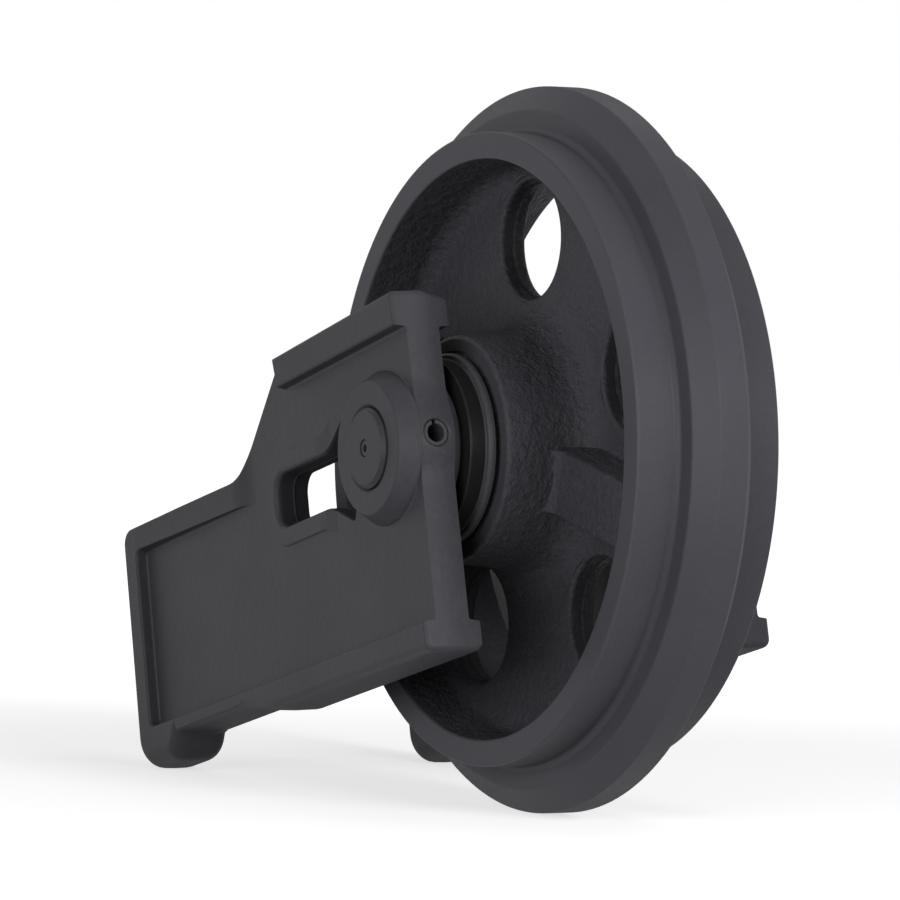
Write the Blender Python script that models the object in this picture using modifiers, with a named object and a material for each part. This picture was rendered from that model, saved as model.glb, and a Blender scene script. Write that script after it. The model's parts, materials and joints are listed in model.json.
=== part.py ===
"""Front idler of a tracked excavator: a flanged wheel that turns on two oil-filled
flanged bushes about a fixed shaft, carried by two cast guide brackets.

Metres, +Z up. The idler stands as it is laid down: on the wheel and on the rear
feet of the brackets. The origin is on the floor under the middle of its box, the
axle runs along Y, and the brackets point back along -X.
"""
import math

import bmesh
import bpy

# Wheel rim and flange
WHEEL_RADIUS = 0.250
FLANGE_LAND_WIDTH = 0.0206
FLANGE_BASE_WIDTH = 0.0452
FLANGE_BEVEL_RADIUS = 0.2327
TREAD_RADIUS = 0.217
TREAD_FILLET = 0.0045
RIM_WIDTH = 0.108
RIM_EDGE = 0.0018
RIM_BORE_RADIUS = 0.1985
RIM_DRAFT = 0.004
RIM_FILLET = 0.014

# Wheel web, its holes and its raised pad
WEB_THICKNESS = 0.020
WEB_HOLE_RADIUS = 0.0405
WEB_HOLE_CIRCLE_RADIUS = 0.145
WEB_HOLE_COUNT = 5
WEB_HOLE_ANGLE = math.radians(95.6)
PAD_ANGLE = math.radians(-12.4)
PAD_WIDTH = 0.048
PAD_HEIGHT_AT_HUB = 0.0275
PAD_HEIGHT_AT_RIM = 0.021

# Wheel hub
HUB_WIDTH = 0.146
HUB_RADIUS = 0.0775
HUB_DRAFT = 0.0075
HUB_FILLET = 0.026
HUB_EDGE = 0.0015
HUB_RECESS_RADIUS = 0.067
HUB_RECESS_DEPTH = 0.0025

# Shaft and bushes
JOURNAL_RADIUS = 0.030
SHAFT_END_RADIUS = 0.0275
SHAFT_END_CHAMFER = 0.0025
SHAFT_STANDOUT = 0.0029
BUSH_WALL = 0.0048
BUSH_LENGTH = 0.050
BUSH_FLANGE_RADIUS = 0.042
BUSH_FLANGE_THICKNESS = 0.0055

# Oil passages, oil plug and centre hole of the shaft
OIL_BORE_RADIUS = 0.004
OIL_BORE_OVERRUN = 0.006
OIL_PORT_RADIUS = 0.006
PLUG_LENGTH = 0.009
PLUG_RECESS = 0.0008
PLUG_SOCKET_WIDTH = 0.005
PLUG_SOCKET_DEPTH = 0.004
CENTRE_HOLE_RADIUS = 0.006
CENTRE_HOLE_DEPTH = 0.010

# Face seals: metal rings on rubber torics
SEAL_BORE_RADIUS = 0.053
SEAL_RING_LENGTH = 0.0112
SEAL_RING_BORE_RADIUS = 0.038
SEAL_RING_BODY_WALL = 0.0068
SEAL_FLANGE_CLEARANCE = 0.002
SEAL_FLANGE_THICKNESS = 0.003
SEAL_RING_CHAMFER = 0.0013

# Collars between the hub and the brackets
COLLAR_RADIUS = 0.061
COLLAR_LIP_RADIUS = 0.0654
COLLAR_LIP_THICKNESS = 0.004
COLLAR_LENGTH = 0.0177
COLLAR_HUB_GAP = 0.002
COLLAR_NOSE_WALL = 0.0062
O_RING_SECTION_RADIUS = 0.0016
O_RING_INSET = 0.007

# Bracket: thickness across the idler
WEB_PLATE_THICKNESS = 0.025
OUTER_LIP_HEIGHT = 0.0087
INNER_LIP_HEIGHT = 0.0098
BOSS_INNER_STANDOUT = 0.0073
BOSS_OUTER_STANDOUT = 0.0135

# Bracket: outline from the axle, before it is tilted
FRONT_REACH_TOP = 0.0452
FRONT_REACH_BOTTOM = 0.0500
FRONT_CORNER_RADIUS = 0.003
TOP_RAIL_HEIGHT = 0.0945
TOP_RAIL_RISE = 0.006
TOP_RAIL_REAR_REACH = 0.1465
TOP_RAIL_CORNER_RADIUS = 0.006
SLANT_REACH = 0.2224
SLANT_FILLET = 0.025
TAIL_REACH = 0.409
TAIL_TOP_HEIGHT = 0.0225
TAIL_CORNER_RADIUS = 0.010
BOTTOM_DROP = 0.1484
FOOT_DROP = 0.0091
FOOT_LENGTH = 0.053
FOOT_RADIUS = 0.016
FOOT_RAMP = 0.011
RELIEF_RISE = 0.0095
RELIEF_LENGTH = 0.109
RELIEF_RAMP = 0.045
FOOT_SIDE_CHAMFER = 0.013
BOTTOM_SIDE_CHAMFER = 0.004

# Bracket: lips round the sunk panels
TOP_LIP_WIDTH = 0.0213
TOP_LIP_RISE = 0.0035
BOTTOM_LIP_WIDTH = 0.020
REAR_LIP_WIDTH = 0.0205
TAIL_LIP_WIDTH = 0.0175
TAIL_LIP_REACH = 0.235
PANEL_CORNER_RADIUS = 0.003

# Bracket: boss and the slot behind it
BOSS_RADIUS = 0.0535
BOSS_FACE_RADIUS = 0.045
BOSS_INNER_RADIUS = 0.048
BOSS_STEP = 0.0015
BOSS_BORE_CHAMFER = 0.002
SLOT_REACH = 0.167
SLOT_TOP_HEIGHT = 0.0141
SLOT_BOTTOM_DROP = 0.0244
SLOT_CORNER_RADIUS = 0.014
SLOT_NECK_REACH = 0.088
UPPER_HORN_REACH = 0.046
UPPER_HORN_RISE = 0.0275
LOWER_HORN_REACH = 0.054
LOWER_HORN_DROP = 0.016

# Spring pins that lock the shaft in the brackets
PIN_RADIUS = 0.009
PIN_WALL = 0.00175
PIN_LENGTH = 0.040
PIN_SLIT_WIDTH = 0.0028
PIN_SLIT_LEAN = math.radians(8.0)
PIN_RECESS = 0.0011
PIN_OFFSET = 0.0015
PIN_HOLE_CHAMFER = 0.001

# Fits
GAP = 0.0003
RUNNING_GAP = 0.0004

# Fineness of the round shapes
WHEEL_STEPS = 48
TURNED_STEPS = 24
HOLE_STEPS = 24
SMALL_STEPS = 16
RING_SECTION_STEPS = 8
ARC_STEP = math.radians(30.0)
CUT = 0.010

# Places along the axle, outwards from the middle of the wheel
HUB_FACE = HUB_WIDTH / 2
COLLAR_FACE = HUB_FACE + COLLAR_HUB_GAP
COLLAR_BACK = COLLAR_FACE + COLLAR_LENGTH
SEAL_PLANE = (HUB_FACE + COLLAR_FACE) / 2
SEAL_RING_FACE = SEAL_PLANE - GAP / 2
SEAL_RING_BACK = SEAL_RING_FACE - SEAL_RING_LENGTH
HUB_SEAT = SEAL_RING_BACK - GAP
COLLAR_SEAT = 2 * SEAL_PLANE - HUB_SEAT
BUSH_FACE = HUB_SEAT
BUSH_SHOULDER = BUSH_FACE - BUSH_FLANGE_THICKNESS
BUSH_END = BUSH_FACE - BUSH_LENGTH
BOSS_INNER = COLLAR_BACK + GAP
PLATE_INNER = BOSS_INNER + BOSS_INNER_STANDOUT
PLATE_OUTER = PLATE_INNER + WEB_PLATE_THICKNESS
RAIL_INNER = PLATE_INNER - INNER_LIP_HEIGHT
RAIL_OUTER = PLATE_OUTER + OUTER_LIP_HEIGHT
RAIL_MIDDLE = (RAIL_INNER + RAIL_OUTER) / 2
BOSS_FACE = PLATE_OUTER + BOSS_OUTER_STANDOUT
SHAFT_SHOULDER = BOSS_INNER - GAP
SHAFT_END = BOSS_FACE + SHAFT_STANDOUT
PIN_PLACE = RAIL_MIDDLE + PIN_OFFSET

# Radii that follow from the fits
BUSH_BORE_RADIUS = JOURNAL_RADIUS + RUNNING_GAP
BUSH_RADIUS = BUSH_BORE_RADIUS + BUSH_WALL
COLLAR_BORE_RADIUS = JOURNAL_RADIUS + GAP
COLLAR_NOSE_RADIUS = COLLAR_BORE_RADIUS + COLLAR_NOSE_WALL
SEAL_BODY_RADIUS = SEAL_RING_BORE_RADIUS + SEAL_RING_BODY_WALL
SEAL_FLANGE_RADIUS = SEAL_BORE_RADIUS - SEAL_FLANGE_CLEARANCE
TORIC_SECTION_RADIUS = (SEAL_BORE_RADIUS - SEAL_BODY_RADIUS) / 2 - GAP
TORIC_RADIUS = (SEAL_BORE_RADIUS + SEAL_BODY_RADIUS) / 2
TORIC_PLACE = (HUB_SEAT + SEAL_RING_FACE - SEAL_FLANGE_THICKNESS) / 2
O_RING_RADIUS = COLLAR_BORE_RADIUS + O_RING_SECTION_RADIUS
O_RING_GROOVE_RADIUS = O_RING_RADIUS + O_RING_SECTION_RADIUS + GAP
O_RING_GROOVE_HALF = O_RING_SECTION_RADIUS + GAP
O_RING_PLACE = COLLAR_FACE + O_RING_INSET
PIN_HOLE_RADIUS = PIN_RADIUS + GAP
PIN_HEAD = BOSS_RADIUS - PIN_RECESS
PIN_TIP = PIN_HEAD - PIN_LENGTH


def resting_tilt():
    """Tilt of the brackets when the wheel and their rear feet stand on one floor."""
    back = TAIL_REACH - FOOT_RADIUS
    down = BOTTOM_DROP + FOOT_DROP - FOOT_RADIUS
    drop = AXLE_HEIGHT - FOOT_RADIUS
    return math.asin(drop / math.hypot(back, down)) - math.atan2(down, back)


def axle_place():
    """Distance of the axle in front of the middle of the whole box."""
    back = TAIL_REACH - TAIL_CORNER_RADIUS
    up = TAIL_TOP_HEIGHT - TAIL_CORNER_RADIUS
    rear = back * math.cos(TILT) + up * math.sin(TILT) + TAIL_CORNER_RADIUS
    return (rear - AXLE_HEIGHT) / 2


AXLE_HEIGHT = WHEEL_RADIUS * math.cos(math.pi / WHEEL_STEPS)
TILT = resting_tilt()
AXLE_X = axle_place()

# Colour, metallic and roughness of each finish
FINISHES = {
    "paint": ((0.055, 0.053, 0.060), 0.0, 0.48),
    "cast_paint": ((0.045, 0.044, 0.050), 0.0, 0.62),
    "dark_steel": ((0.030, 0.030, 0.034), 0.6, 0.35),
    "steel": ((0.42, 0.42, 0.43), 1.0, 0.30),
    "bronze": ((0.50, 0.33, 0.14), 1.0, 0.35),
    "rubber": ((0.015, 0.015, 0.016), 0.0, 0.70),
}


def clear_scene():
    for item in list(bpy.data.objects):
        bpy.data.objects.remove(item, do_unlink=True)


def new_collection(name):
    group = bpy.data.collections.new(name)
    bpy.context.scene.collection.children.link(group)
    return group


def material(name, finish):
    """A painted or bare surface, named for the piece that wears it."""
    colour, metallic, roughness = FINISHES[finish]
    result = bpy.data.materials.new(name)
    result.use_nodes = True
    shader = result.node_tree.nodes["Principled BSDF"]
    shader.inputs["Base Color"].default_value = (*colour, 1.0)
    shader.inputs["Metallic"].default_value = metallic
    shader.inputs["Roughness"].default_value = roughness
    result.diffuse_color = (*colour, 1.0)
    return result


def arc(centre_x, centre_y, radius, start, end):
    """Points on an arc, its two ends included, no further apart than ARC_STEP."""
    count = max(1, math.ceil(abs(end - start) / ARC_STEP - 1e-6))
    angles = [start + (end - start) * index / count for index in range(count + 1)]
    return [(centre_x + radius * math.cos(a), centre_y + radius * math.sin(a)) for a in angles]


def rounded(corners):
    """Outline through corners given as (x, y, radius), each rounded by its radius."""
    points = []
    for index, (x, y, radius) in enumerate(corners):
        before = corners[index - 1]
        after = corners[(index + 1) % len(corners)]
        if radius == 0:
            points.append((x, y))
            continue
        into = math.atan2(y - before[1], x - before[0])
        out = math.atan2(after[1] - y, after[0] - x)
        turn = (out - into + math.pi) % (2 * math.pi) - math.pi
        reach = radius * math.tan(abs(turn) / 2)
        side = math.copysign(math.pi / 2, turn)
        centre_x = x - reach * math.cos(into) + radius * math.cos(into + side)
        centre_y = y - reach * math.sin(into) + radius * math.sin(into + side)
        points.extend(arc(centre_x, centre_y, radius, into - side, into - side + turn))
    return points


def place(item, parent, location, rotation):
    item.parent = parent
    item.location = location
    item.rotation_euler = rotation


def frame_empty(name, tilt):
    """An empty on the axle that carries the pieces of one body."""
    empty = bpy.data.objects.new(name, None)
    empty.location = (AXLE_X, 0.0, AXLE_HEIGHT)
    empty.rotation_euler = (0.0, -tilt, 0.0)
    PARTS.objects.link(empty)
    return empty


def add_object(name, mesh, group, finish=None):
    item = bpy.data.objects.new(name, mesh)
    group.objects.link(item)
    if finish:
        mesh.materials.append(material(name, finish))
    else:
        item.hide_render = True
        item.display_type = "WIRE"
    return item


def turned(name, profile, steps, finish=None, phase=0.0):
    """A turned shape about its own Z. The profile runs down its outer side; one
    that starts off the axis is a closed ring section."""
    mesh = bpy.data.meshes.new(name)
    shape = bmesh.new()
    start = math.cos(phase), math.sin(phase)
    points = [shape.verts.new((r * start[0], r * start[1], a)) for r, a in profile]
    for first, second in zip(points, points[1:]):
        shape.edges.new((first, second))
    if profile[0][0] > 0:
        shape.edges.new((points[-1], points[0]))
    shape.to_mesh(mesh)
    shape.free()
    item = add_object(name, mesh, PARTS if finish else CUTTERS, finish)
    screw = item.modifiers.new("turn", "SCREW")
    screw.steps = steps
    screw.render_steps = steps
    screw.use_merge_vertices = True
    screw.merge_threshold = 0.00001
    screw.use_smooth_shade = False
    return item


def plate(name, outline, thickness, finish=None):
    """A flat outline in its own XY plane, made a welded mesh of this thickness."""
    curve = bpy.data.curves.new(name, "CURVE")
    curve.dimensions = "2D"
    curve.fill_mode = "BOTH"
    curve.extrude = thickness / 2
    spline = curve.splines.new("POLY")
    spline.points.add(len(outline) - 1)
    for point, (x, y) in zip(spline.points, outline):
        point.co = (x, y, 0.0, 1.0)
    spline.use_cyclic_u = True
    guide = bpy.data.objects.new(name, curve)
    CUTTERS.objects.link(guide)
    graph = bpy.context.evaluated_depsgraph_get()
    mesh = bpy.data.meshes.new_from_object(guide.evaluated_get(graph))
    bpy.data.objects.remove(guide)
    shape = bmesh.new()
    shape.from_mesh(mesh)
    bmesh.ops.remove_doubles(shape, verts=shape.verts, dist=0.00001)
    bmesh.ops.recalc_face_normals(shape, faces=shape.faces)
    shape.to_mesh(mesh)
    shape.free()
    mesh.name = name
    return add_object(name, mesh, PARTS if finish else CUTTERS, finish)


def cylinder(name, radius, depth, steps):
    """A plain round cutter about its own Z, centred on its origin."""
    mesh = bpy.data.meshes.new(name)
    shape = bmesh.new()
    bmesh.ops.create_cone(shape, cap_ends=True, segments=steps, radius1=radius,
                          radius2=radius, depth=depth)
    shape.to_mesh(mesh)
    shape.free()
    return add_object(name, mesh, CUTTERS)


def combine(target, tool, operation):
    step = target.modifiers.new(tool.name, "BOOLEAN")
    step.operation = operation
    step.solver = "EXACT"
    step.object = tool


def facing(side):
    """Turn that points a piece's own Z away from the wheel, on the side given."""
    return (-side * math.pi / 2, 0.0, 0.0)


def rim_profile():
    """Outer half of the wheel section, from the flange land to the rim bore."""
    land = FLANGE_LAND_WIDTH / 2
    base = FLANGE_BASE_WIDTH / 2
    face = RIM_WIDTH / 2
    web = WEB_THICKNESS / 2
    root = RIM_BORE_RADIUS - RIM_DRAFT
    fillet = arc(root - RIM_FILLET, web + RIM_FILLET, RIM_FILLET, 0.0, -math.pi / 2)
    shoulder = arc(TREAD_RADIUS + TREAD_FILLET, base + TREAD_FILLET, TREAD_FILLET,
                   -math.pi / 2, -math.pi)
    return [(WHEEL_RADIUS, land), (FLANGE_BEVEL_RADIUS, base), *shoulder,
            (TREAD_RADIUS, face - RIM_EDGE), (TREAD_RADIUS - RIM_EDGE, face),
            (RIM_BORE_RADIUS + RIM_EDGE, face), (RIM_BORE_RADIUS, face - RIM_EDGE), *fillet]


def hub_profile():
    """Outer half of the wheel section, from the web to the bore for the bush."""
    web = WEB_THICKNESS / 2
    root = HUB_RADIUS + HUB_DRAFT
    fillet = arc(root + HUB_FILLET, web + HUB_FILLET, HUB_FILLET, -math.pi / 2, -math.pi)
    recess = HUB_FACE - HUB_RECESS_DEPTH
    return [*fillet, (HUB_RADIUS, HUB_FACE - HUB_EDGE), (HUB_RADIUS - HUB_EDGE, HUB_FACE),
            (HUB_RECESS_RADIUS, HUB_FACE), (HUB_RECESS_RADIUS, recess),
            (SEAL_BORE_RADIUS, recess), (SEAL_BORE_RADIUS, HUB_SEAT),
            (BUSH_FLANGE_RADIUS + GAP, HUB_SEAT), (BUSH_FLANGE_RADIUS + GAP, BUSH_SHOULDER - GAP),
            (BUSH_RADIUS + GAP, BUSH_SHOULDER - GAP)]


def idler_wheel(frame):
    """Flanged wheel: rim, web with five round holes, raised pad and hub in one casting."""
    half = rim_profile() + hub_profile()
    upper = [(r, a) for r, a in reversed(half)]
    lower = [(r, -a) for r, a in half]
    wheel = turned("idler_wheel", upper + lower, WHEEL_STEPS, "cast_paint",
                   math.pi / WHEEL_STEPS)
    place(wheel, frame, (0.0, 0.0, 0.0), facing(1))
    pad = web_pad(frame)
    combine(wheel, pad, "UNION")
    for index in range(WEB_HOLE_COUNT):
        angle = WEB_HOLE_ANGLE + index * 2 * math.pi / WEB_HOLE_COUNT
        hole = cylinder(f"web_hole_{index + 1}", WEB_HOLE_RADIUS, WEB_THICKNESS + 2 * CUT,
                        HOLE_STEPS)
        centre = (WEB_HOLE_CIRCLE_RADIUS * math.cos(angle), 0.0,
                  WEB_HOLE_CIRCLE_RADIUS * math.sin(angle))
        place(hole, frame, centre, facing(1))
        combine(wheel, hole, "DIFFERENCE")


def web_pad(frame):
    """Flat-topped pad on the near side of the web, from the hub out to the rim."""
    web = WEB_THICKNESS / 2
    inner = HUB_RADIUS - HUB_EDGE - GAP
    outer = (RIM_BORE_RADIUS + TREAD_RADIUS) / 2
    slope = (PAD_HEIGHT_AT_RIM - PAD_HEIGHT_AT_HUB) / (RIM_BORE_RADIUS - HUB_RADIUS)
    outline = [(inner, 0.0), (outer, 0.0),
               (outer, web + PAD_HEIGHT_AT_RIM + slope * (outer - RIM_BORE_RADIUS)),
               (inner, web + PAD_HEIGHT_AT_HUB + slope * (inner - HUB_RADIUS))]
    pad = plate("web_pad", outline, PAD_WIDTH)
    arm = bpy.data.objects.new("web_pad_arm", None)
    CUTTERS.objects.link(arm)
    place(arm, frame, (0.0, 0.0, 0.0), (0.0, -PAD_ANGLE, 0.0))
    place(pad, arm, (0.0, 0.0, 0.0), (math.pi, 0.0, 0.0))
    return pad


def bush(name, side, frame):
    """Flanged bush pressed into the hub; the wheel turns on the journal inside it."""
    profile = [(BUSH_BORE_RADIUS, BUSH_FACE), (BUSH_FLANGE_RADIUS, BUSH_FACE),
               (BUSH_FLANGE_RADIUS, BUSH_SHOULDER), (BUSH_RADIUS, BUSH_SHOULDER),
               (BUSH_RADIUS, BUSH_END), (BUSH_BORE_RADIUS, BUSH_END)]
    place(turned(name, profile, TURNED_STEPS, "bronze"), frame, (0.0, 0.0, 0.0), facing(side))


def seal_ring_profile():
    """Section of the ring that sits in the hub, its polished face outwards."""
    flange_back = SEAL_RING_FACE - SEAL_FLANGE_THICKNESS
    return [(SEAL_RING_BORE_RADIUS, SEAL_RING_FACE), (SEAL_FLANGE_RADIUS, SEAL_RING_FACE),
            (SEAL_FLANGE_RADIUS, flange_back), (SEAL_BODY_RADIUS, flange_back),
            (SEAL_BODY_RADIUS, SEAL_RING_BACK + SEAL_RING_CHAMFER),
            (SEAL_BODY_RADIUS - SEAL_RING_CHAMFER, SEAL_RING_BACK),
            (SEAL_RING_BORE_RADIUS, SEAL_RING_BACK)]


def across_seal(profile):
    """The same section on the other side of the plane where the two rings meet."""
    return [(r, 2 * SEAL_PLANE - a) for r, a in reversed(profile)]


def ring_section(radius, section_radius, centre):
    """Section of a rubber ring, its flats as far out as the round section is."""
    half_step = math.pi / RING_SECTION_STEPS
    reach = section_radius / math.cos(half_step)
    angles = [math.pi - (2 * index + 1) * half_step for index in range(RING_SECTION_STEPS)]
    return [(radius + reach * math.cos(a), centre + reach * math.sin(a)) for a in angles]


def face_seal(suffix, side, wheel_frame, carrier_frame):
    """Two metal rings face to face, each pressed on by its rubber toric."""
    ring = seal_ring_profile()
    toric = ring_section(TORIC_RADIUS, TORIC_SECTION_RADIUS, TORIC_PLACE)
    pieces = ((f"wheel_seal_ring_{suffix}", ring, "steel", wheel_frame),
              (f"wheel_toric_{suffix}", toric, "rubber", wheel_frame),
              (f"collar_seal_ring_{suffix}", across_seal(ring), "steel", carrier_frame),
              (f"collar_toric_{suffix}", across_seal(toric), "rubber", carrier_frame))
    for name, profile, finish, frame in pieces:
        piece = turned(name, profile, TURNED_STEPS, finish)
        place(piece, frame, (0.0, 0.0, 0.0), facing(side))


def collar(name, side, frame):
    """Seal collar on the journal: outer lip, seal seat, thrust nose and O-ring groove."""
    lip_back = COLLAR_FACE + COLLAR_LIP_THICKNESS
    nose_end = BUSH_FACE + GAP
    groove = O_RING_PLACE
    profile = [(COLLAR_BORE_RADIUS, COLLAR_BACK), (COLLAR_RADIUS, COLLAR_BACK),
               (COLLAR_RADIUS, lip_back), (COLLAR_LIP_RADIUS, lip_back),
               (COLLAR_LIP_RADIUS, COLLAR_FACE), (SEAL_BORE_RADIUS, COLLAR_FACE),
               (SEAL_BORE_RADIUS, COLLAR_SEAT), (COLLAR_NOSE_RADIUS, COLLAR_SEAT),
               (COLLAR_NOSE_RADIUS, nose_end), (COLLAR_BORE_RADIUS, nose_end),
               (COLLAR_BORE_RADIUS, groove - O_RING_GROOVE_HALF),
               (O_RING_GROOVE_RADIUS, groove - O_RING_GROOVE_HALF),
               (O_RING_GROOVE_RADIUS, groove + O_RING_GROOVE_HALF),
               (COLLAR_BORE_RADIUS, groove + O_RING_GROOVE_HALF)]
    piece = turned(name, profile, TURNED_STEPS, "dark_steel")
    place(piece, frame, (0.0, 0.0, 0.0), facing(side))


def shaft_o_ring(name, side, frame):
    """O-ring in the collar's groove, closing it against the journal."""
    profile = ring_section(O_RING_RADIUS, O_RING_SECTION_RADIUS, O_RING_PLACE)
    piece = turned(name, profile, TURNED_STEPS, "rubber")
    place(piece, frame, (0.0, 0.0, 0.0), facing(side))


def shaft(frame):
    """Fixed shaft: journal between the brackets, reduced ends in their bosses, oil bore."""
    tip = SHAFT_END - SHAFT_END_CHAMFER
    half = [(0.0, SHAFT_END), (SHAFT_END_RADIUS - SHAFT_END_CHAMFER, SHAFT_END),
            (SHAFT_END_RADIUS, tip), (SHAFT_END_RADIUS, SHAFT_SHOULDER),
            (JOURNAL_RADIUS, SHAFT_SHOULDER)]
    profile = half + [(r, -a) for r, a in reversed(half)]
    piece = turned("shaft", profile, TURNED_STEPS, "paint")
    place(piece, frame, (0.0, 0.0, 0.0), facing(-1))
    bottom = -OIL_BORE_OVERRUN
    port_end = SHAFT_END - PLUG_RECESS - PLUG_LENGTH - GAP
    oil_way = turned("oil_way", [(0.0, SHAFT_END + CUT), (OIL_PORT_RADIUS, SHAFT_END + CUT),
                                 (OIL_PORT_RADIUS, port_end), (OIL_BORE_RADIUS, port_end),
                                 (OIL_BORE_RADIUS, bottom), (0.0, bottom - OIL_BORE_RADIUS / 2)],
                     SMALL_STEPS)
    place(oil_way, frame, (0.0, 0.0, 0.0), facing(-1))
    combine(piece, oil_way, "DIFFERENCE")
    outlet = cylinder("oil_outlet", OIL_BORE_RADIUS, JOURNAL_RADIUS + CUT, SMALL_STEPS)
    place(outlet, frame, (0.0, 0.0, (JOURNAL_RADIUS + CUT) / 2), (0.0, 0.0, 0.0))
    combine(piece, outlet, "DIFFERENCE")
    centre_hole = turned("centre_hole", [(0.0, SHAFT_END + CUT), (CENTRE_HOLE_RADIUS, SHAFT_END + CUT),
                                         (CENTRE_HOLE_RADIUS, SHAFT_END),
                                         (0.0, SHAFT_END - CENTRE_HOLE_DEPTH)], SMALL_STEPS)
    place(centre_hole, frame, (0.0, 0.0, 0.0), facing(1))
    combine(piece, centre_hole, "DIFFERENCE")
    for suffix, side in SIDES:
        hole = cylinder(f"shaft_pin_hole_{suffix}", PIN_HOLE_RADIUS, PIN_HEAD - PIN_TIP + GAP,
                        HOLE_STEPS)
        middle = (PIN_HEAD + PIN_TIP - GAP) / 2
        place(hole, frame, (middle, side * PIN_PLACE, 0.0), (0.0, math.pi / 2, 0.0))
        combine(piece, hole, "DIFFERENCE")


def oil_plug(frame):
    """Screwed plug with a hexagon socket in the near end of the shaft."""
    top = SHAFT_END - PLUG_RECESS
    radius = OIL_PORT_RADIUS - GAP
    profile = [(0.0, top), (radius, top), (radius, top - PLUG_LENGTH), (0.0, top - PLUG_LENGTH)]
    plug = turned("oil_plug", profile, SMALL_STEPS, "dark_steel")
    place(plug, frame, (0.0, 0.0, 0.0), facing(-1))
    socket = cylinder("plug_socket", PLUG_SOCKET_WIDTH / math.sqrt(3), 2 * PLUG_SOCKET_DEPTH, 6)
    place(socket, frame, (0.0, -top, 0.0), facing(-1))
    combine(plug, socket, "DIFFERENCE")


def spring_pin(name, side, frame):
    """Slit tube driven in from the front of the boss into the shaft, its slit upwards."""
    bore = PIN_RADIUS - PIN_WALL
    outer_half = math.asin(PIN_SLIT_WIDTH / 2 / PIN_RADIUS)
    inner_half = math.asin(PIN_SLIT_WIDTH / 2 / bore)
    slit = math.pi + side * PIN_SLIT_LEAN
    turn = slit + 2 * math.pi
    outline = arc(0.0, 0.0, PIN_RADIUS, slit + outer_half, turn - outer_half)
    outline += arc(0.0, 0.0, bore, turn - inner_half, slit + inner_half)
    pin = plate(name, outline, PIN_LENGTH, "dark_steel")
    place(pin, frame, ((PIN_HEAD + PIN_TIP) / 2, side * PIN_PLACE, 0.0),
          (0.0, math.pi / 2, 0.0))


def bracket_outline():
    """Side view of the bracket from its rear top corner forwards and round."""
    bottom = -BOTTOM_DROP
    foot = bottom - FOOT_DROP
    relief = bottom + RELIEF_RISE
    foot_front = -TAIL_REACH + FOOT_LENGTH
    relief_rear = foot_front + FOOT_RAMP
    relief_front = relief_rear + RELIEF_LENGTH
    return rounded([
        (-TAIL_REACH, TAIL_TOP_HEIGHT, TAIL_CORNER_RADIUS),
        (-TAIL_REACH, foot, FOOT_RADIUS),
        (foot_front, foot, 0.0),
        (relief_rear, relief, 0.0),
        (relief_front, relief, 0.0),
        (relief_front + RELIEF_RAMP, bottom, 0.0),
        (FRONT_REACH_BOTTOM, bottom, FRONT_CORNER_RADIUS),
        (FRONT_REACH_TOP, TOP_RAIL_HEIGHT + TOP_RAIL_RISE, FRONT_CORNER_RADIUS),
        (-TOP_RAIL_REAR_REACH, TOP_RAIL_HEIGHT, TOP_RAIL_CORNER_RADIUS),
        (-SLANT_REACH, TAIL_TOP_HEIGHT, SLANT_FILLET)])


def panel_outline():
    """Sunk panel between the lips, open at the front end and along the slant."""
    front = max(FRONT_REACH_TOP, FRONT_REACH_BOTTOM) + CUT
    top = TOP_RAIL_HEIGHT - TOP_LIP_WIDTH
    above = TOP_RAIL_HEIGHT + CUT
    rear = -TAIL_REACH + REAR_LIP_WIDTH
    tail_top = TAIL_TOP_HEIGHT - TAIL_LIP_WIDTH
    bottom = -BOTTOM_DROP + BOTTOM_LIP_WIDTH
    return rounded([
        (front, bottom, 0.0), (front, top + TOP_LIP_RISE, 0.0),
        (-TOP_RAIL_REAR_REACH, top, 0.0), (-TOP_RAIL_REAR_REACH, above, 0.0),
        (-TAIL_LIP_REACH, above, 0.0), (-TAIL_LIP_REACH, tail_top, 0.0),
        (rear, tail_top, PANEL_CORNER_RADIUS), (rear, bottom, PANEL_CORNER_RADIUS)])


def slot_outline():
    """Slot behind the boss, flaring above and below into horns round it."""
    top = SLOT_TOP_HEIGHT
    bottom = -SLOT_BOTTOM_DROP
    return rounded([
        (-SLOT_REACH, top, SLOT_CORNER_RADIUS), (-SLOT_REACH, bottom, SLOT_CORNER_RADIUS),
        (-SLOT_NECK_REACH, bottom, 0.0), (-LOWER_HORN_REACH, bottom - LOWER_HORN_DROP, 0.0),
        (-JOURNAL_RADIUS, 0.0, 0.0), (-UPPER_HORN_REACH, top + UPPER_HORN_RISE, 0.0),
        (-SLOT_NECK_REACH, top, 0.0)])


def tail_lip_wedge(suffix, side, frame):
    """Slope that lets the lip on top of the tail sink forwards into the panel."""
    rear = -TAIL_REACH + REAR_LIP_WIDTH
    outline = [(rear, RAIL_OUTER), (-TAIL_LIP_REACH, PLATE_OUTER),
               (-TAIL_LIP_REACH, RAIL_OUTER + CUT), (rear, RAIL_OUTER + CUT)]
    wedge = plate(f"tail_lip_wedge_{suffix}", [(x, side * y) for x, y in outline],
                  TAIL_LIP_WIDTH + 2 * CUT)
    place(wedge, frame, (0.0, 0.0, TAIL_TOP_HEIGHT - TAIL_LIP_WIDTH / 2), (0.0, 0.0, 0.0))
    return wedge


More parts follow.
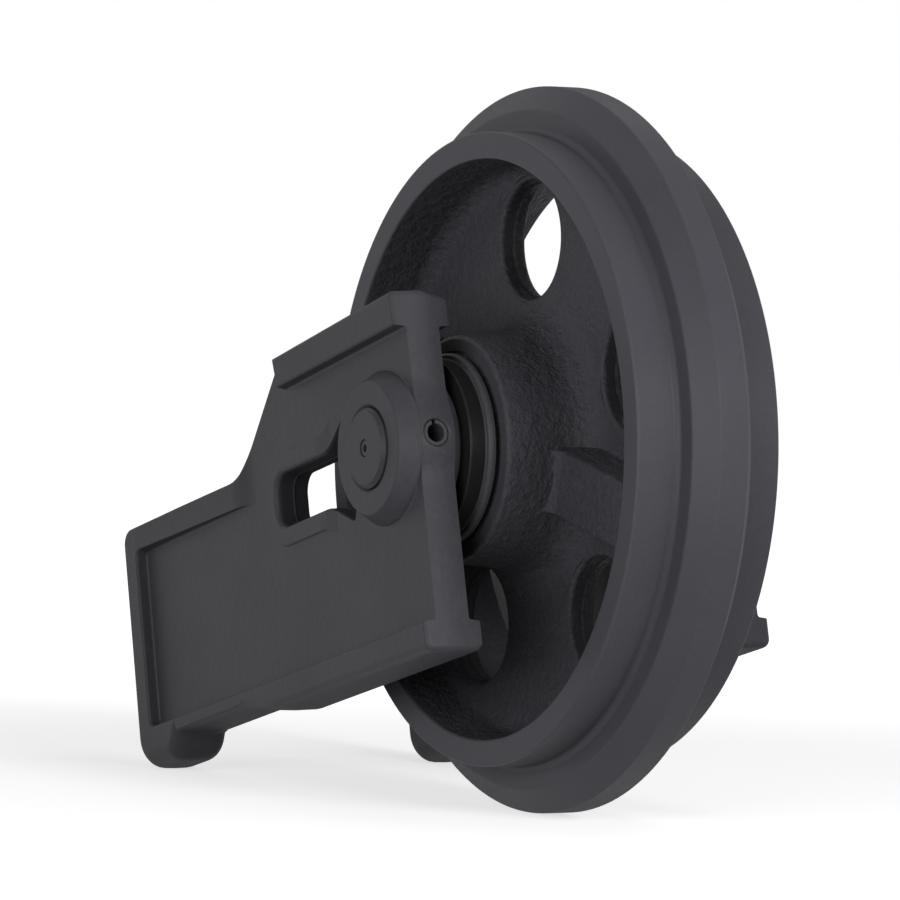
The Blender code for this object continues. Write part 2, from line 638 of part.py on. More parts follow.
def side_chamfers(name, side, frame, level, size, rear, front):
    """Wedges that take off the two long edges of a bottom face at the level given."""
    wedges = []
    for index, (face, out) in enumerate(((RAIL_OUTER, 1), (RAIL_INNER, -1))):
        beyond = face + out * CUT
        outline = [(beyond, level - CUT), (beyond, level + size + CUT),
                   (face - out * (size + CUT), level - CUT)]
        wedge = plate(f"{name}_{index + 1}", [(side * y, z) for y, z in outline], front - rear)
        place(wedge, frame, ((front + rear) / 2, 0.0, 0.0), (math.pi / 2, 0.0, math.pi / 2))
        wedges.append(wedge)
    return wedges


def bottom_chamfers(suffix, side, frame):
    """Chamfers along the foot and along the bottom rail in front of the relief."""
    rear = -TAIL_REACH - CUT
    foot_front = -TAIL_REACH + FOOT_LENGTH + FOOT_RAMP
    rail_rear = foot_front + RELIEF_LENGTH
    rail_front = max(FRONT_REACH_TOP, FRONT_REACH_BOTTOM) + CUT
    foot = side_chamfers(f"foot_chamfer_{suffix}", side, frame, -BOTTOM_DROP - FOOT_DROP,
                         FOOT_SIDE_CHAMFER, rear, foot_front)
    rail = side_chamfers(f"rail_chamfer_{suffix}", side, frame, -BOTTOM_DROP,
                         BOTTOM_SIDE_CHAMFER, rail_rear, rail_front)
    return foot + rail


def boss(suffix, side, frame):
    """Boss round the shaft: a cylinder through the plate, coned towards both its faces."""
    profile = [(0.0, BOSS_FACE), (BOSS_FACE_RADIUS, BOSS_FACE),
               (BOSS_RADIUS, PLATE_OUTER + BOSS_STEP), (BOSS_RADIUS, PLATE_INNER - BOSS_STEP),
               (BOSS_INNER_RADIUS, BOSS_INNER), (0.0, BOSS_INNER)]
    piece = turned(f"boss_{suffix}", profile, TURNED_STEPS)
    place(piece, frame, (0.0, 0.0, 0.0), facing(side))
    return piece


def boss_bore(suffix, side, frame):
    """Bore for the shaft's end, chamfered at the outer face."""
    radius = SHAFT_END_RADIUS + GAP
    mouth = BOSS_FACE - BOSS_BORE_CHAMFER
    profile = [(0.0, BOSS_FACE + CUT), (radius + BOSS_BORE_CHAMFER + CUT, BOSS_FACE + CUT),
               (radius, mouth), (radius, BOSS_INNER - CUT), (0.0, BOSS_INNER - CUT)]
    piece = turned(f"boss_bore_{suffix}", profile, TURNED_STEPS)
    place(piece, frame, (0.0, 0.0, 0.0), facing(side))
    return piece


def boss_slot(suffix, side, frame):
    """Through slot in the plate; the boss closes its front end."""
    slot = plate(f"slot_{suffix}", slot_outline(), RAIL_OUTER - RAIL_INNER + 2 * CUT)
    place(slot, frame, (0.0, side * RAIL_MIDDLE, 0.0), (math.pi / 2, 0.0, 0.0))
    return slot


def pin_hole(suffix, side, frame):
    """Hole for the spring pin from the front of the boss into the shaft bore."""
    mouth = BOSS_RADIUS - PIN_HOLE_CHAMFER
    outside = BOSS_RADIUS + CUT
    profile = [(0.0, outside), (PIN_HOLE_RADIUS + PIN_HOLE_CHAMFER + CUT, outside),
               (PIN_HOLE_RADIUS, mouth), (PIN_HOLE_RADIUS, 0.0), (0.0, 0.0)]
    piece = turned(f"pin_hole_{suffix}", profile, HOLE_STEPS)
    place(piece, frame, (0.0, side * PIN_PLACE, 0.0), (0.0, math.pi / 2, 0.0))
    return piece


def bracket(suffix, side, frame):
    """Cast guide bracket: plate with lips, boss for the shaft, slot and rear foot."""
    upright = (math.pi / 2, 0.0, 0.0)
    body = plate(f"bracket_{suffix}", bracket_outline(), RAIL_OUTER - RAIL_INNER, "paint")
    place(body, frame, (0.0, side * RAIL_MIDDLE, 0.0), upright)
    outer = plate(f"outer_panel_{suffix}", panel_outline(), 2 * OUTER_LIP_HEIGHT)
    place(outer, frame, (0.0, side * RAIL_OUTER, 0.0), upright)
    inner = plate(f"inner_panel_{suffix}", panel_outline(), 2 * INNER_LIP_HEIGHT)
    place(inner, frame, (0.0, side * RAIL_INNER, 0.0), upright)
    for tool in (outer, inner, tail_lip_wedge(suffix, side, frame),
                 *bottom_chamfers(suffix, side, frame), boss_slot(suffix, side, frame)):
        combine(body, tool, "DIFFERENCE")
    combine(body, boss(suffix, side, frame), "UNION")
    for tool in (boss_bore(suffix, side, frame), pin_hole(suffix, side, frame)):
        combine(body, tool, "DIFFERENCE")


def build():
    wheel_frame = frame_empty("wheel_frame", 0.0)
    carrier_frame = frame_empty("carrier_frame", TILT)
    idler_wheel(wheel_frame)
    shaft(carrier_frame)
    oil_plug(carrier_frame)
    for suffix, side in SIDES:
        bush(f"bush_{suffix}", side, wheel_frame)
        face_seal(suffix, side, wheel_frame, carrier_frame)
        collar(f"collar_{suffix}", side, carrier_frame)
        shaft_o_ring(f"shaft_o_ring_{suffix}", side, carrier_frame)
        bracket(suffix, side, carrier_frame)
        spring_pin(f"spring_pin_{suffix}", side, carrier_frame)


SIDES = (("near", -1), ("far", 1))
clear_scene()
PARTS = new_collection("excavator_front_idler")
CUTTERS = new_collection("cutters")
build()
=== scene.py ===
"""Front idler of a tracked excavator, dressed for a plain studio picture.

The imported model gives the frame. The wheel, the brackets and what shows of the
axle are built again here with rounded edges, drafted cast walls and a painted
finish. Metres, +Z up; the axle runs along Y and the brackets point along -X.
"""

import json
import math

import bmesh
import bpy
from bpy.props import FloatProperty, FloatVectorProperty, PointerProperty
from mathutils import Matrix, Vector


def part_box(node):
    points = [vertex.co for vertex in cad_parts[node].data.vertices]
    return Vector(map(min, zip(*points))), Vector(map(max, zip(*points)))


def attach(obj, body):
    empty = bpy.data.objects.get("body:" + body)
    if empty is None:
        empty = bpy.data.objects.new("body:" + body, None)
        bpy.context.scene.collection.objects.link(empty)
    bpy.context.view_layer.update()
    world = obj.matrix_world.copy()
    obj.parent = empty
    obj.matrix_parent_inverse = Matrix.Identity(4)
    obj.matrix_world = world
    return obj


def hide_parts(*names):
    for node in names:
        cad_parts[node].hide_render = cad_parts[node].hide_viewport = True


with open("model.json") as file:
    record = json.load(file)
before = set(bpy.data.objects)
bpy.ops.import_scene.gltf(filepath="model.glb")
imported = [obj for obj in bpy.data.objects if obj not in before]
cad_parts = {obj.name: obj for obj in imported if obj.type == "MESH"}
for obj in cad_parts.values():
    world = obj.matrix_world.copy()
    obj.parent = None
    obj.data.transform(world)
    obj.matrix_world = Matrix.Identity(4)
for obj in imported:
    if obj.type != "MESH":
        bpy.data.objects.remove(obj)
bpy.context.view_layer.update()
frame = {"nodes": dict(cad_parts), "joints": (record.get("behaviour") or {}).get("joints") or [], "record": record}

bl_info = {
    "name": "Excavator Front Idler",
    "version": (1, 0, 0),
    "blender": (4, 5, 0),
    "location": "View3D > Sidebar > Idler",
    "description": "Builds a sealed track idler with its cast guide brackets",
    "category": "Add Mesh",
}

# Places taken from the frame
AXLE = Vector(frame["joints"][0]["pos_m"])
REAR_NORMAL = next(mount["axis"] for mount in frame["record"]["mounts"]
                   if mount["name"] == "rear_face_near")
TILT = math.atan2(-REAR_NORMAL[2], -REAR_NORMAL[0])
CARRIER = Matrix.Translation(AXLE) @ Matrix.Rotation(-TILT, 4, "Y")
WHEEL = Matrix.Translation(AXLE)
RAIL_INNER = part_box("bracket_far")[0].y
SHAFT_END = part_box("shaft")[1].y
COLLAR_NOSE, COLLAR_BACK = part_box("collar_far")[0].y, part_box("collar_far")[1].y
FIT = 0.0003  # gap between a bore and what sits in it
HUB_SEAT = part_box("bush_far")[1].y + FIT
SIDES = (("near", -1), ("far", 1))

# Sizes that several functions share
HOLES = 5  # in the web
SEAL_BORE = 0.053  # radius, in the hub and in the collars
RAIL_OUTER = 0.134  # outer face of the brackets' lips
FRONT_FROM = 0.040  # where the brackets' front end starts
PIN_HEAD = 0.0524  # outer end of the spring pins, from the axle
SLOT_RIM_HEIGHT = 0.0020
TOP_LIP, TAIL_LIP, BOTTOM_LIP, REAR_LIP = 0.0213, 0.0175, 0.0200, 0.0205

# Fineness
ARC_STEP = math.radians(11.0)
WHEEL_STEPS = 180
TURNED_STEPS = 96
HOLE_STEPS = 64
MERGE = 0.000005
SHARP = math.radians(28.0)
REACH = 0.012  # how far a cutting tool starts outside the surface that it cuts

# Gloss of the satin paint, low enough for a dark object in white surroundings
PAINT_SPECULAR = 0.09
GRAZING_DULLNESS = 0.26

# Camera
CAMERA_PLACE = (3.3517, -1.8357, 0.3697)
CAMERA_FORWARD = (-0.8805, 0.4730, -0.0325)
CAMERA_UP = (-0.0410, -0.0078, 0.9991)


def length(name, default, description):
    return FloatProperty(name=name, description=description, default=default,
                         min=0.0, unit="LENGTH", precision=4)


def angle(name, default, description):
    return FloatProperty(name=name, description=description, default=math.radians(default),
                         subtype="ANGLE")


def colour(name, default, description):
    return FloatVectorProperty(name=name, description=description, default=default,
                               min=0.0, max=1.0, subtype="COLOR")


def power(name, default, description):
    return FloatProperty(name=name, description=description, default=default, unit="POWER")


class IdlerWheelSizes(bpy.types.PropertyGroup):
    """Sizes of the flanged wheel."""
    flange_radius: length("Flange radius", AXLE.z, "Outer radius of the middle flange")
    flange_land: length("Flange land", 0.0206, "Width of the flat top of the flange")
    flange_base: length("Flange base", 0.0452, "Width of the flange above the tread")
    bevel_radius: length("Bevel radius", 0.2327, "Radius where the flange's bevel starts")
    tread_radius: length("Tread radius", 0.217, "Radius of the treads beside the flange")
    rim_width: length("Rim width", 0.108, "Width of the wheel over its treads")
    rim_bore: length("Rim bore radius", 0.1985, "Inner radius of the rim at its face")
    web_thickness: length("Web thickness", 0.020, "Thickness of the web")
    hole_radius: length("Hole radius", 0.0405, "Radius of the round holes in the web")
    hole_circle: length("Hole circle", 0.145, "Radius on which the holes are centred")
    hole_angle: angle("Hole angle", 95.6, "Angle of the first hole above the axle")
    hole_edge: length("Hole edge", 0.0042, "Edge radius of the holes")
    hub_radius: length("Hub radius", 0.0775, "Outer radius of the hub at its face")
    hub_width: length("Hub width", 0.146, "Width over both faces of the hub")
    pad_width: length("Pad width", 0.0444, "Width of the raised pad on the web, at its top")
    pad_angle: angle("Pad angle", -13.3, "Angle of the pad above the axle")


class IdlerBracketSizes(bpy.types.PropertyGroup):
    """Sizes of the cast guide brackets before they are tilted.

    Reach, height and drop are measured from the axle, places from the wheel's middle.
    """
    plate_inner: length("Plate inner face", 0.1003, "Place of the plate's inner face")
    plate_outer: length("Plate outer face", 0.1253, "Place of the plate's outer face")
    edge: length("Edge radius", 0.0030, "Radius of the outer edges")
    front_top: length("Front reach, top", 0.0452, "Reach of the front end at the top")
    front_bottom: length("Front reach, bottom", 0.0500, "Reach of the front end at the bottom")
    top_height: length("Top rail height", 0.0945, "Height of the top rail at its rear end")
    top_rise: length("Top rail rise", 0.006, "Rise of the top rail towards the front")
    top_reach: length("Top rail reach", 0.1465, "Reach of the top rail to the rear")
    slant_reach: length("Slant reach", 0.2224, "Reach of the foot of the slant")
    tail_reach: length("Tail reach", 0.409, "Reach of the tail to the rear")
    tail_height: length("Tail height", 0.0225, "Height of the tail's top edge")
    bottom_drop: length("Bottom drop", 0.1484, "Drop of the bottom rail below the axle")
    foot_drop: length("Foot drop", 0.0091, "Drop of the rear foot below the rail")
    boss_radius: length("Boss radius", 0.0535, "Radius of the boss at the plate")
    boss_face: length("Boss face radius", 0.045, "Radius of the boss's outer face")
    boss_outer: length("Boss face place", 0.1388, "Outer face of the boss from the wheel's middle")
    slot_reach: length("Slot reach", 0.167, "Reach of the slot to the rear")
    slot_top: length("Slot top", 0.0157, "Height of the slot's upper edge")
    slot_bottom: length("Slot bottom", 0.0244, "Drop of the slot's lower edge")


class IdlerAxleSizes(bpy.types.PropertyGroup):
    """Sizes of the shaft, its collars and the spring pins."""
    journal_radius: length("Journal radius", 0.030, "Radius of the shaft in the bushes")
    end_radius: length("Shaft end radius", 0.0275, "Radius of the shaft in the bosses")
    collar_radius: length("Collar radius", 0.061, "Outer radius of the collars")
    lip_radius: length("Collar lip radius", 0.0654, "Radius of the collar's lip")
    pin_radius: length("Spring pin radius", 0.009, "Outer radius of the spring pins")
    pin_wall: length("Spring pin wall", 0.0028, "Wall of the spring pins")
    pin_length: length("Spring pin length", 0.040, "Length of the spring pins")
    pin_place: length("Spring pin place", 0.11375, "Place of the pins from the wheel's middle")


class IdlerFinishes(bpy.types.PropertyGroup):
    """Colours and the depth of the cast grain."""
    wheel: colour("Wheel paint", (0.0376, 0.0365, 0.0430), "Paint of the wheel")
    bracket: colour("Bracket paint", (0.0336, 0.0326, 0.0382), "Paint of the brackets")
    shaft: colour("Shaft paint", (0.0330, 0.0320, 0.0350), "Paint of the shaft's ends")
    collar: colour("Collar", (0.036, 0.035, 0.038), "Painted steel of the collars")
    pin: colour("Spring pin", (0.036, 0.035, 0.038), "Painted spring steel")
    seal: colour("Seal rings", (0.42, 0.42, 0.43), "Lapped steel of the seal rings")
    bronze: colour("Bushes", (0.50, 0.33, 0.14), "Bronze of the bushes")
    rubber: colour("Rubber", (0.015, 0.015, 0.016), "Rubber of the torics and O-rings")
    wheel_grain: length("Wheel grain", 0.00095, "Depth of the cast grain on the wheel's web")
    bracket_grain: length("Bracket grain", 0.00010, "Depth of the cast grain on the brackets")


class IdlerStage(bpy.types.PropertyGroup):
    """Camera, lamps and floor."""
    lens: FloatProperty(name="Lens", description="Focal length", default=218.44, unit="CAMERA")
    floor: FloatProperty(name="Floor reach", description="Half width of the floor",
                         default=14.0, unit="LENGTH")
    left_lamp: power("Left lamp", 64.0, "Power of the large lamp on the near side")
    right_lamp: power("Right lamp", 84.0, "Power of the lamp in front of the wheel")
    strip_lamps: power("Strip lamps", 24.0, "Power of the lamps that light the edges")
    top_lamp: power("Top lamp", 14.0, "Power of the lamp above the wheel")
    sky: FloatProperty(name="Sky", description="Strength of the even light all round", default=0.12)


def rounded(corners, closed=True):
    """Points through corners (x, y) or (x, y, radius), each corner turned on its radius."""
    points = []
    last = len(corners) - 1
    for index, corner in enumerate(corners):
        x, y = corner[0], corner[1]
        radius = corner[2] if len(corner) > 2 else 0.0
        if radius == 0.0 or (not closed and index in (0, last)):
            points.append((x, y))
            continue
        before, after = corners[index - 1], corners[(index + 1) % len(corners)]
        into = math.atan2(y - before[1], x - before[0])
        out = math.atan2(after[1] - y, after[0] - x)
        turn = (out - into + math.pi) % (2 * math.pi) - math.pi
        reach = radius * math.tan(abs(turn) / 2)
        side = math.copysign(math.pi / 2, turn)
        centre_x = x - reach * math.cos(into) + radius * math.cos(into + side)
        centre_y = y - reach * math.sin(into) + radius * math.sin(into + side)
        count = max(1, math.ceil(abs(turn) / ARC_STEP))
        for step in range(count + 1):
            at = into - side + turn * step / count
            points.append((centre_x + radius * math.cos(at), centre_y + radius * math.sin(at)))
    return points


def settled(shape):
    bmesh.ops.remove_doubles(shape, verts=shape.verts, dist=MERGE)
    bmesh.ops.dissolve_degenerate(shape, edges=shape.edges, dist=MERGE / 5)
    bmesh.ops.recalc_face_normals(shape, faces=shape.faces)
    return shape


def everything(shape):
    return shape.verts[:] + shape.edges[:] + shape.faces[:]


def doubled(shape):
    """Adds the mirror image of a shape that ends on the plane across the axle's middle."""
    bmesh.ops.mirror(shape, geom=everything(shape), matrix=Matrix.Identity(4),
                     merge_dist=MERGE, axis="Y")


def lathe(corners, steps, closed=False, mirrored=False, side=1):
    """A profile of (radius, place along Y) corners spun about the Y axis."""
    shape = bmesh.new()
    verts = [shape.verts.new((r, side * a, 0.0)) for r, a in rounded(corners, closed)]
    edges = [shape.edges.new(pair) for pair in zip(verts, verts[1:])]
    if closed:
        edges.append(shape.edges.new((verts[-1], verts[0])))
    bmesh.ops.spin(shape, geom=verts + edges, cent=(0.0, 0.0, 0.0), axis=(0.0, 1.0, 0.0),
                   dvec=(0.0, 0.0, 0.0), angle=2 * math.pi, steps=steps, use_merge=True)
    if mirrored:
        doubled(shape)
    return settled(shape)


def block(outline, rings, mirrored=False):
    """A solid on a flat outline in the XZ plane. Each ring is (inset, height along Y)."""
    shape = bmesh.new()
    face = shape.faces.new([shape.verts.new((x, 0.0, z)) for x, z in outline])
    face.normal_update()
    if face.normal.y < 0:
        face.normal_flip()
    inset, height = 0.0, 0.0
    for next_inset, next_height in rings:
        bmesh.ops.inset_region(shape, faces=[face], thickness=next_inset - inset,
                               depth=next_height - height, use_even_offset=True,
                               use_boundary=True)
        inset, height = next_inset, next_height
    if mirrored:
        doubled(shape)
    else:
        bmesh.ops.holes_fill(shape, edges=[edge for edge in shape.edges if edge.is_boundary],
                             sides=0)
    return settled(shape)


def quarter_turn(steps):
    return [math.radians(90.0 * step / steps) for step in range(1, steps + 1)]


def flared(height, radius, steps=5):
    """Rings of a block round an edge that starts flat at this height and ends upright."""
    return [(radius * math.sin(at), height + radius * (1 - math.cos(at)))
            for at in quarter_turn(steps)]


def rolled(inset, height, radius, steps=5):
    """Rings of a block round an edge that starts upright at (inset, height) and ends flat."""
    return [(inset + radius * (1 - math.cos(at)), height + radius * math.sin(at))
            for at in quarter_turn(steps)]


def clamped(share):
    return min(1.0, max(0.0, share))


def round_drop(radius, share):
    """How far a round edge has dropped at this share of the way across it."""
    share = clamped(share)
    return radius * (1 - math.sqrt(1 - share * share))


def sliced(shape, places):
    """Cuts a shape across at places along X, so that its points there can move."""
    for place in places:
        bmesh.ops.bisect_plane(shape, geom=everything(shape), plane_co=(place, 0.0, 0.0),
                               plane_no=(1.0, 0.0, 0.0))


def moved(shape, matrix):
    bmesh.ops.transform(shape, matrix=matrix, verts=shape.verts)
    if matrix.determinant() < 0:
        bmesh.ops.reverse_faces(shape, faces=shape.faces)
    return shape


def mesh_object(name, shape):
    """Turns a shape into an object in the scene, with its place in its mesh."""
    mesh = bpy.data.meshes.new(name)
    shape.to_mesh(mesh)
    shape.free()
    item = bpy.data.objects.new(name, mesh)
    bpy.context.scene.collection.objects.link(item)
    return item


def carved(base, steps):
    """The base shape after each (operation, tool shape)."""
    target = mesh_object("draft", base)
    tools = []
    for operation, tool in steps:
        tools.append(mesh_object("tool", tool))
        cut = target.modifiers.new("cut", "BOOLEAN")
        cut.operation = operation
        cut.solver = "EXACT"
        cut.object = tools[-1]
    bpy.context.view_layer.update()
    graph = bpy.context.evaluated_depsgraph_get()
    mesh = bpy.data.meshes.new_from_object(target.evaluated_get(graph))
    for item in (target, *tools):
        bpy.data.objects.remove(item)
    shape = bmesh.new()
    shape.from_mesh(mesh)
    bpy.data.meshes.remove(mesh)
    if not shape.faces:
        raise RuntimeError("a Boolean left nothing of its base shape")
    return shape


def piece(name, shape, material, body, node):
    """Turns a shape into a shaded piece that rides on its body and stands for a CAD node."""
    item = mesh_object(name, shape)
    item.data.shade_smooth()
    item.data.set_sharp_from_angle(angle=SHARP)
    item.data.materials.append(material)
    even = item.modifiers.new("even shading", "WEIGHTED_NORMAL")
    even.keep_sharp = True
    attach(item, body)
    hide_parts(node)


class Value:
    """A shader socket that takes part in Python expressions."""

    def __init__(self, nodes, socket):
        self.nodes = nodes
        self.socket = socket

    def maths(self, operation, *values):
        return self.nodes.node("ShaderNodeMath", {"operation": operation},
                               dict(enumerate(values)))

    def __add__(self, other):
        return self.maths("ADD", self, other)

    def __radd__(self, other):
        return self.maths("ADD", other, self)

    def __sub__(self, other):
        return self.maths("SUBTRACT", self, other)

    def __rsub__(self, other):
        return self.maths("SUBTRACT", other, self)

    def __mul__(self, other):
        return self.maths("MULTIPLY", self, other)

    def __rmul__(self, other):
        return self.maths("MULTIPLY", other, self)

    def __abs__(self):
        return self.maths("ABSOLUTE", self)

    def root(self):
        return self.maths("SQRT", self)

    def sine(self):
        return self.maths("SINE", self)

    def cosine(self):
        return self.maths("COSINE", self)

    def larger(self, other):
        return self.maths("MAXIMUM", self, other)

    def angle_over(self, other):
        """The angle whose tangent is this value over the other."""
        return self.maths("ARCTAN2", self, other)

    def folded(self, span):
        """Goes up to span and back to 0, over and over."""
        return self.maths("PINGPONG", self, span)

    def between(self, low, high):
        """0 below low, 1 above high and smooth between them."""
        return self.nodes.node("ShaderNodeMapRange", {"interpolation_type": "SMOOTHSTEP"},
                               {"Value": self, "From Min": low, "From Max": high})

    def flipped(self):
        """1 where this value is 0, and 0 where it is 1."""
        return 1 - self


class Nodes:
    """A node tree, whose nodes all come from one method."""

    def __init__(self, tree):
        self.tree = tree

    def node(self, kind, settings=None, values=None, output=0):
        made = self.tree.nodes.new(kind)
        for key, value in (settings or {}).items():
            setattr(made, key, value)
        for key, value in (values or {}).items():
            self.feed(made.inputs[key], value)
        return Value(self, made.outputs[output])

    def feed(self, target, value):
        if isinstance(value, Value):
            self.tree.links.new(value.socket, target)
        else:
            target.default_value = value

    def seen_directly(self):
        """1 where a ray comes from the camera, a reflection or clear glass, 0 elsewhere."""
        camera = self.node("ShaderNodeLightPath", output="Is Camera Ray")
        rays = camera.socket.node.outputs
        reflected = camera.larger(Value(self, rays["Is Glossy Ray"]))
        return reflected.larger(Value(self, rays["Is Transmission Ray"]))


class Finish(Nodes):
    """A procedural surface: its nodes and the shader that they feed."""

    def __init__(self, name, metallic=0.0, specular=0.5):
        self.material = bpy.data.materials.new(name)
        self.material.use_nodes = True
        super().__init__(self.material.node_tree)
        self.shader = self.tree.nodes["Principled BSDF"]
        self.shade("Metallic", metallic)
        self.shade("Specular IOR Level", specular)
        self.place = self.node("ShaderNodeTexCoord", output="Object")

    def shade(self, socket, value):
        self.feed(self.shader.inputs[socket], value)

    def noise(self, scale, detail=2.0, roughness=0.5):
        return self.node("ShaderNodeTexNoise", {},
                         {"Vector": self.place, "Scale": scale, "Detail": detail,
                          "Roughness": roughness})

    def axes(self):
        """The three coordinates, measured from the axle."""
        shifted = self.node("ShaderNodeVectorMath", {"operation": "SUBTRACT"},
                            {0: self.place, 1: tuple(AXLE)})
        split = self.node("ShaderNodeSeparateXYZ", {}, {0: shifted})
        return [Value(self, output) for output in split.socket.node.outputs]

    def mix(self, factor, first, second):
        """Colour from first to second as factor goes from 0 to 1."""
        return self.node("ShaderNodeMix", {"data_type": "RGBA"},
                         {"Factor": factor, 6: first, 7: second}, output=2)

    def grazing(self):
        """0 where the surface faces the viewer, 1 where it is seen edge-on."""
        facing = self.node("ShaderNodeLayerWeight", {}, {"Blend": 0.5}, output="Facing")
        return facing.between(0.55, 0.95)

    def bump(self, height):
        """Height in metres, as the shader's normal."""
        self.shade("Normal", self.node("ShaderNodeBump", {},
                                       {"Height": height, "Distance": 1.0, "Strength": 1.0}))

    def base(self, value):
        self.shade("Base Color", value)

    def roughness(self, value):
        self.shade("Roughness", value)


def tone(base, factor):
    return (*(min(1.0, channel * factor) for channel in base), 1.0)


def grey(level):
    return (level, level, level, 1.0)


def grain(finish, depth):
    """Height of a cast skin under paint: soft lumps with a finer grain on them."""
    lumps = finish.noise(150.0, 2.0, 0.55)
    fine = finish.noise(520.0, 3.0, 0.6)
    return (lumps - 0.5) * depth * 2.2 + (fine - 0.5) * depth


def bracket_paint(name, base, depth, sheen):
    """Satin paint over a cast skin, with painted shade inside the slot, where it is also rougher."""
    finish = Finish(name, specular=PAINT_SPECULAR)
    x, y, z = finish.axes()
    along = x * math.cos(TILT) + z * math.sin(TILT)
    above = z * math.cos(TILT) - x * math.sin(TILT)
    slot_middle = -0.105
    # Painted shade: darker, rougher paint between the plate's faces, along the slot and over its height.
    inside = abs(y).between(0.1215, 0.1245).flipped() * abs(y).between(0.1012, 0.1036)
    inside = inside * abs(along - slot_middle).between(0.066, 0.070).flipped()
    inside = inside * abs(above).between(0.052, 0.056).flipped()
    cloud = finish.noise(9.0, 3.0, 0.6)
    speck = finish.noise(260.0, 2.0, 0.6)
    shade = cloud * 0.6 + speck * 0.4
    paint = finish.mix(shade.between(0.3, 0.7), tone(base, 0.88), tone(base, 1.14))
    finish.base(finish.mix(inside, paint, tone(base, 0.58)))
    finish.roughness(sheen + (speck - 0.5) * 0.18 + inside * 0.25
                     + finish.grazing() * GRAZING_DULLNESS)
    peel = (finish.noise(1500.0, 1.0) - 0.5) * 0.00002
    finish.bump(grain(finish, depth) + peel)
    return finish.material


def wheel_paint(name, base, depth, sizes):
    """Satin paint: rough where the wheel is cast, smooth where turned, with a painted sheen on the turned rim and
    painted shade on the walls of the holes.
    """
    finish = Finish(name, specular=PAINT_SPECULAR)
    x, y, z = finish.axes()
    radius = (x * x + z * z).root()
    rim = radius.between(0.1975, 0.1990)
    hub_face = abs(y).between(0.0722, 0.0726)
    turned = rim.larger(hub_face)
    cloud = finish.noise(8.0, 3.0, 0.6)
    speck = finish.noise(300.0, 2.0, 0.6)
    shade = (cloud * 0.55 + speck * 0.45).between(0.3, 0.7)
    cast = finish.mix(shade, tone(base, 0.80), tone(base, 1.12))
    # The turned rim is painted lighter than the cast web: a painted sheen.
    smooth = finish.mix(shade, tone(base, 1.10), tone(base, 1.28))
    around = (z.angle_over(x) - sizes.hole_angle).folded(math.pi / HOLES)
    circle = sizes.hole_circle
    from_hole = (radius * radius + circle ** 2 - radius * around.cosine() * (2 * circle)).root()
    # Painted shade on the walls of the holes.
    wall = from_hole.between(sizes.hole_radius, sizes.hole_radius + 0.0024).flipped()
    finish.base(finish.mix(wall, finish.mix(rim, cast, smooth), tone(base, 0.34)))
    finish.roughness(0.46 + (speck - 0.5) * 0.24 - turned * 0.06
                     + finish.grazing() * GRAZING_DULLNESS)
    rings = ((radius + y) * 5200.0).sine() * 0.0000012
    peel = (finish.noise(1300.0, 1.0) - 0.5) * 0.00002
    finish.bump(grain(finish, depth) * (1 - turned) + rings * turned + peel)
    return finish.material


def turned_paint(name, base, sheen, shaded_from=0.0):
    """Paint over turned steel with the tool's rings, with painted shade beyond a place on the axle."""
    finish = Finish(name, specular=PAINT_SPECULAR)
    x, y, z = finish.axes()
    radius = (x * x + z * z).root()
    speck = finish.noise(420.0, 2.0, 0.6)
    paint = finish.mix(speck.between(0.3, 0.7), tone(base, 0.90), tone(base, 1.12))
    # Painted shade: darker paint beyond this place, where the collar lies in the bracket's shadow.
    if shaded_from:
        painted_shade = abs(y).between(shaded_from, shaded_from + 0.001)
        paint = finish.mix(painted_shade, paint, tone(base, 0.22))
    finish.base(paint)
    finish.roughness(sheen + (speck - 0.5) * 0.16 + finish.grazing() * GRAZING_DULLNESS)
    rings = ((radius + y) * 6000.0).sine() * 0.0000020
    finish.bump(rings + (finish.noise(900.0, 2.0) - 0.5) * 0.00004)
    return finish.material


def bare_metal(name, base, rough):
    finish = Finish(name, metallic=1.0)
    speck = finish.noise(300.0, 3.0, 0.6)
    finish.base(finish.mix(speck, tone(base, 0.85), tone(base, 1.10)))
    finish.roughness(rough + (speck - 0.5) * 0.12)
    finish.bump((speck - 0.5) * 0.00002)
    return finish.material


def soft_rubber(name, base):
    finish = Finish(name)
    speck = finish.noise(700.0, 2.0, 0.6)
    finish.base(finish.mix(speck, tone(base, 0.8), tone(base, 1.3)))
    finish.roughness(0.62 + (speck - 0.5) * 0.2)
    finish.bump((speck - 0.5) * 0.00003)
    return finish.material


def wheel_section(sizes):
    """Outer half of the wheel's section, from the flange land to the bore of the hub."""
    web = sizes.web_thickness / 2
    face = sizes.rim_width / 2
    base = sizes.flange_base / 2
    hub = sizes.hub_width / 2
    recess, recess_floor = 0.067, hub - 0.0025
    flange_seat, shoulder, bush_seat = 0.0423, HUB_SEAT - 0.0061, 0.0355
    return [(sizes.flange_radius, 0.0), (sizes.flange_radius, sizes.flange_land / 2, 0.0014),
            (sizes.bevel_radius, base, 0.004), (sizes.tread_radius, base, 0.0045),
            (sizes.tread_radius, face, 0.0018), (sizes.rim_bore, face, 0.0016),
            (sizes.rim_bore - 0.004, web, 0.014), (sizes.hub_radius + 0.0075, web, 0.026),
            (sizes.hub_radius, hub, 0.0035), (recess, hub, 0.0004), (recess, recess_floor),
            (SEAL_BORE, recess_floor, 0.0005), (SEAL_BORE, HUB_SEAT), (flange_seat, HUB_SEAT),
            (flange_seat, shoulder), (bush_seat, shoulder), (bush_seat, 0.0)]


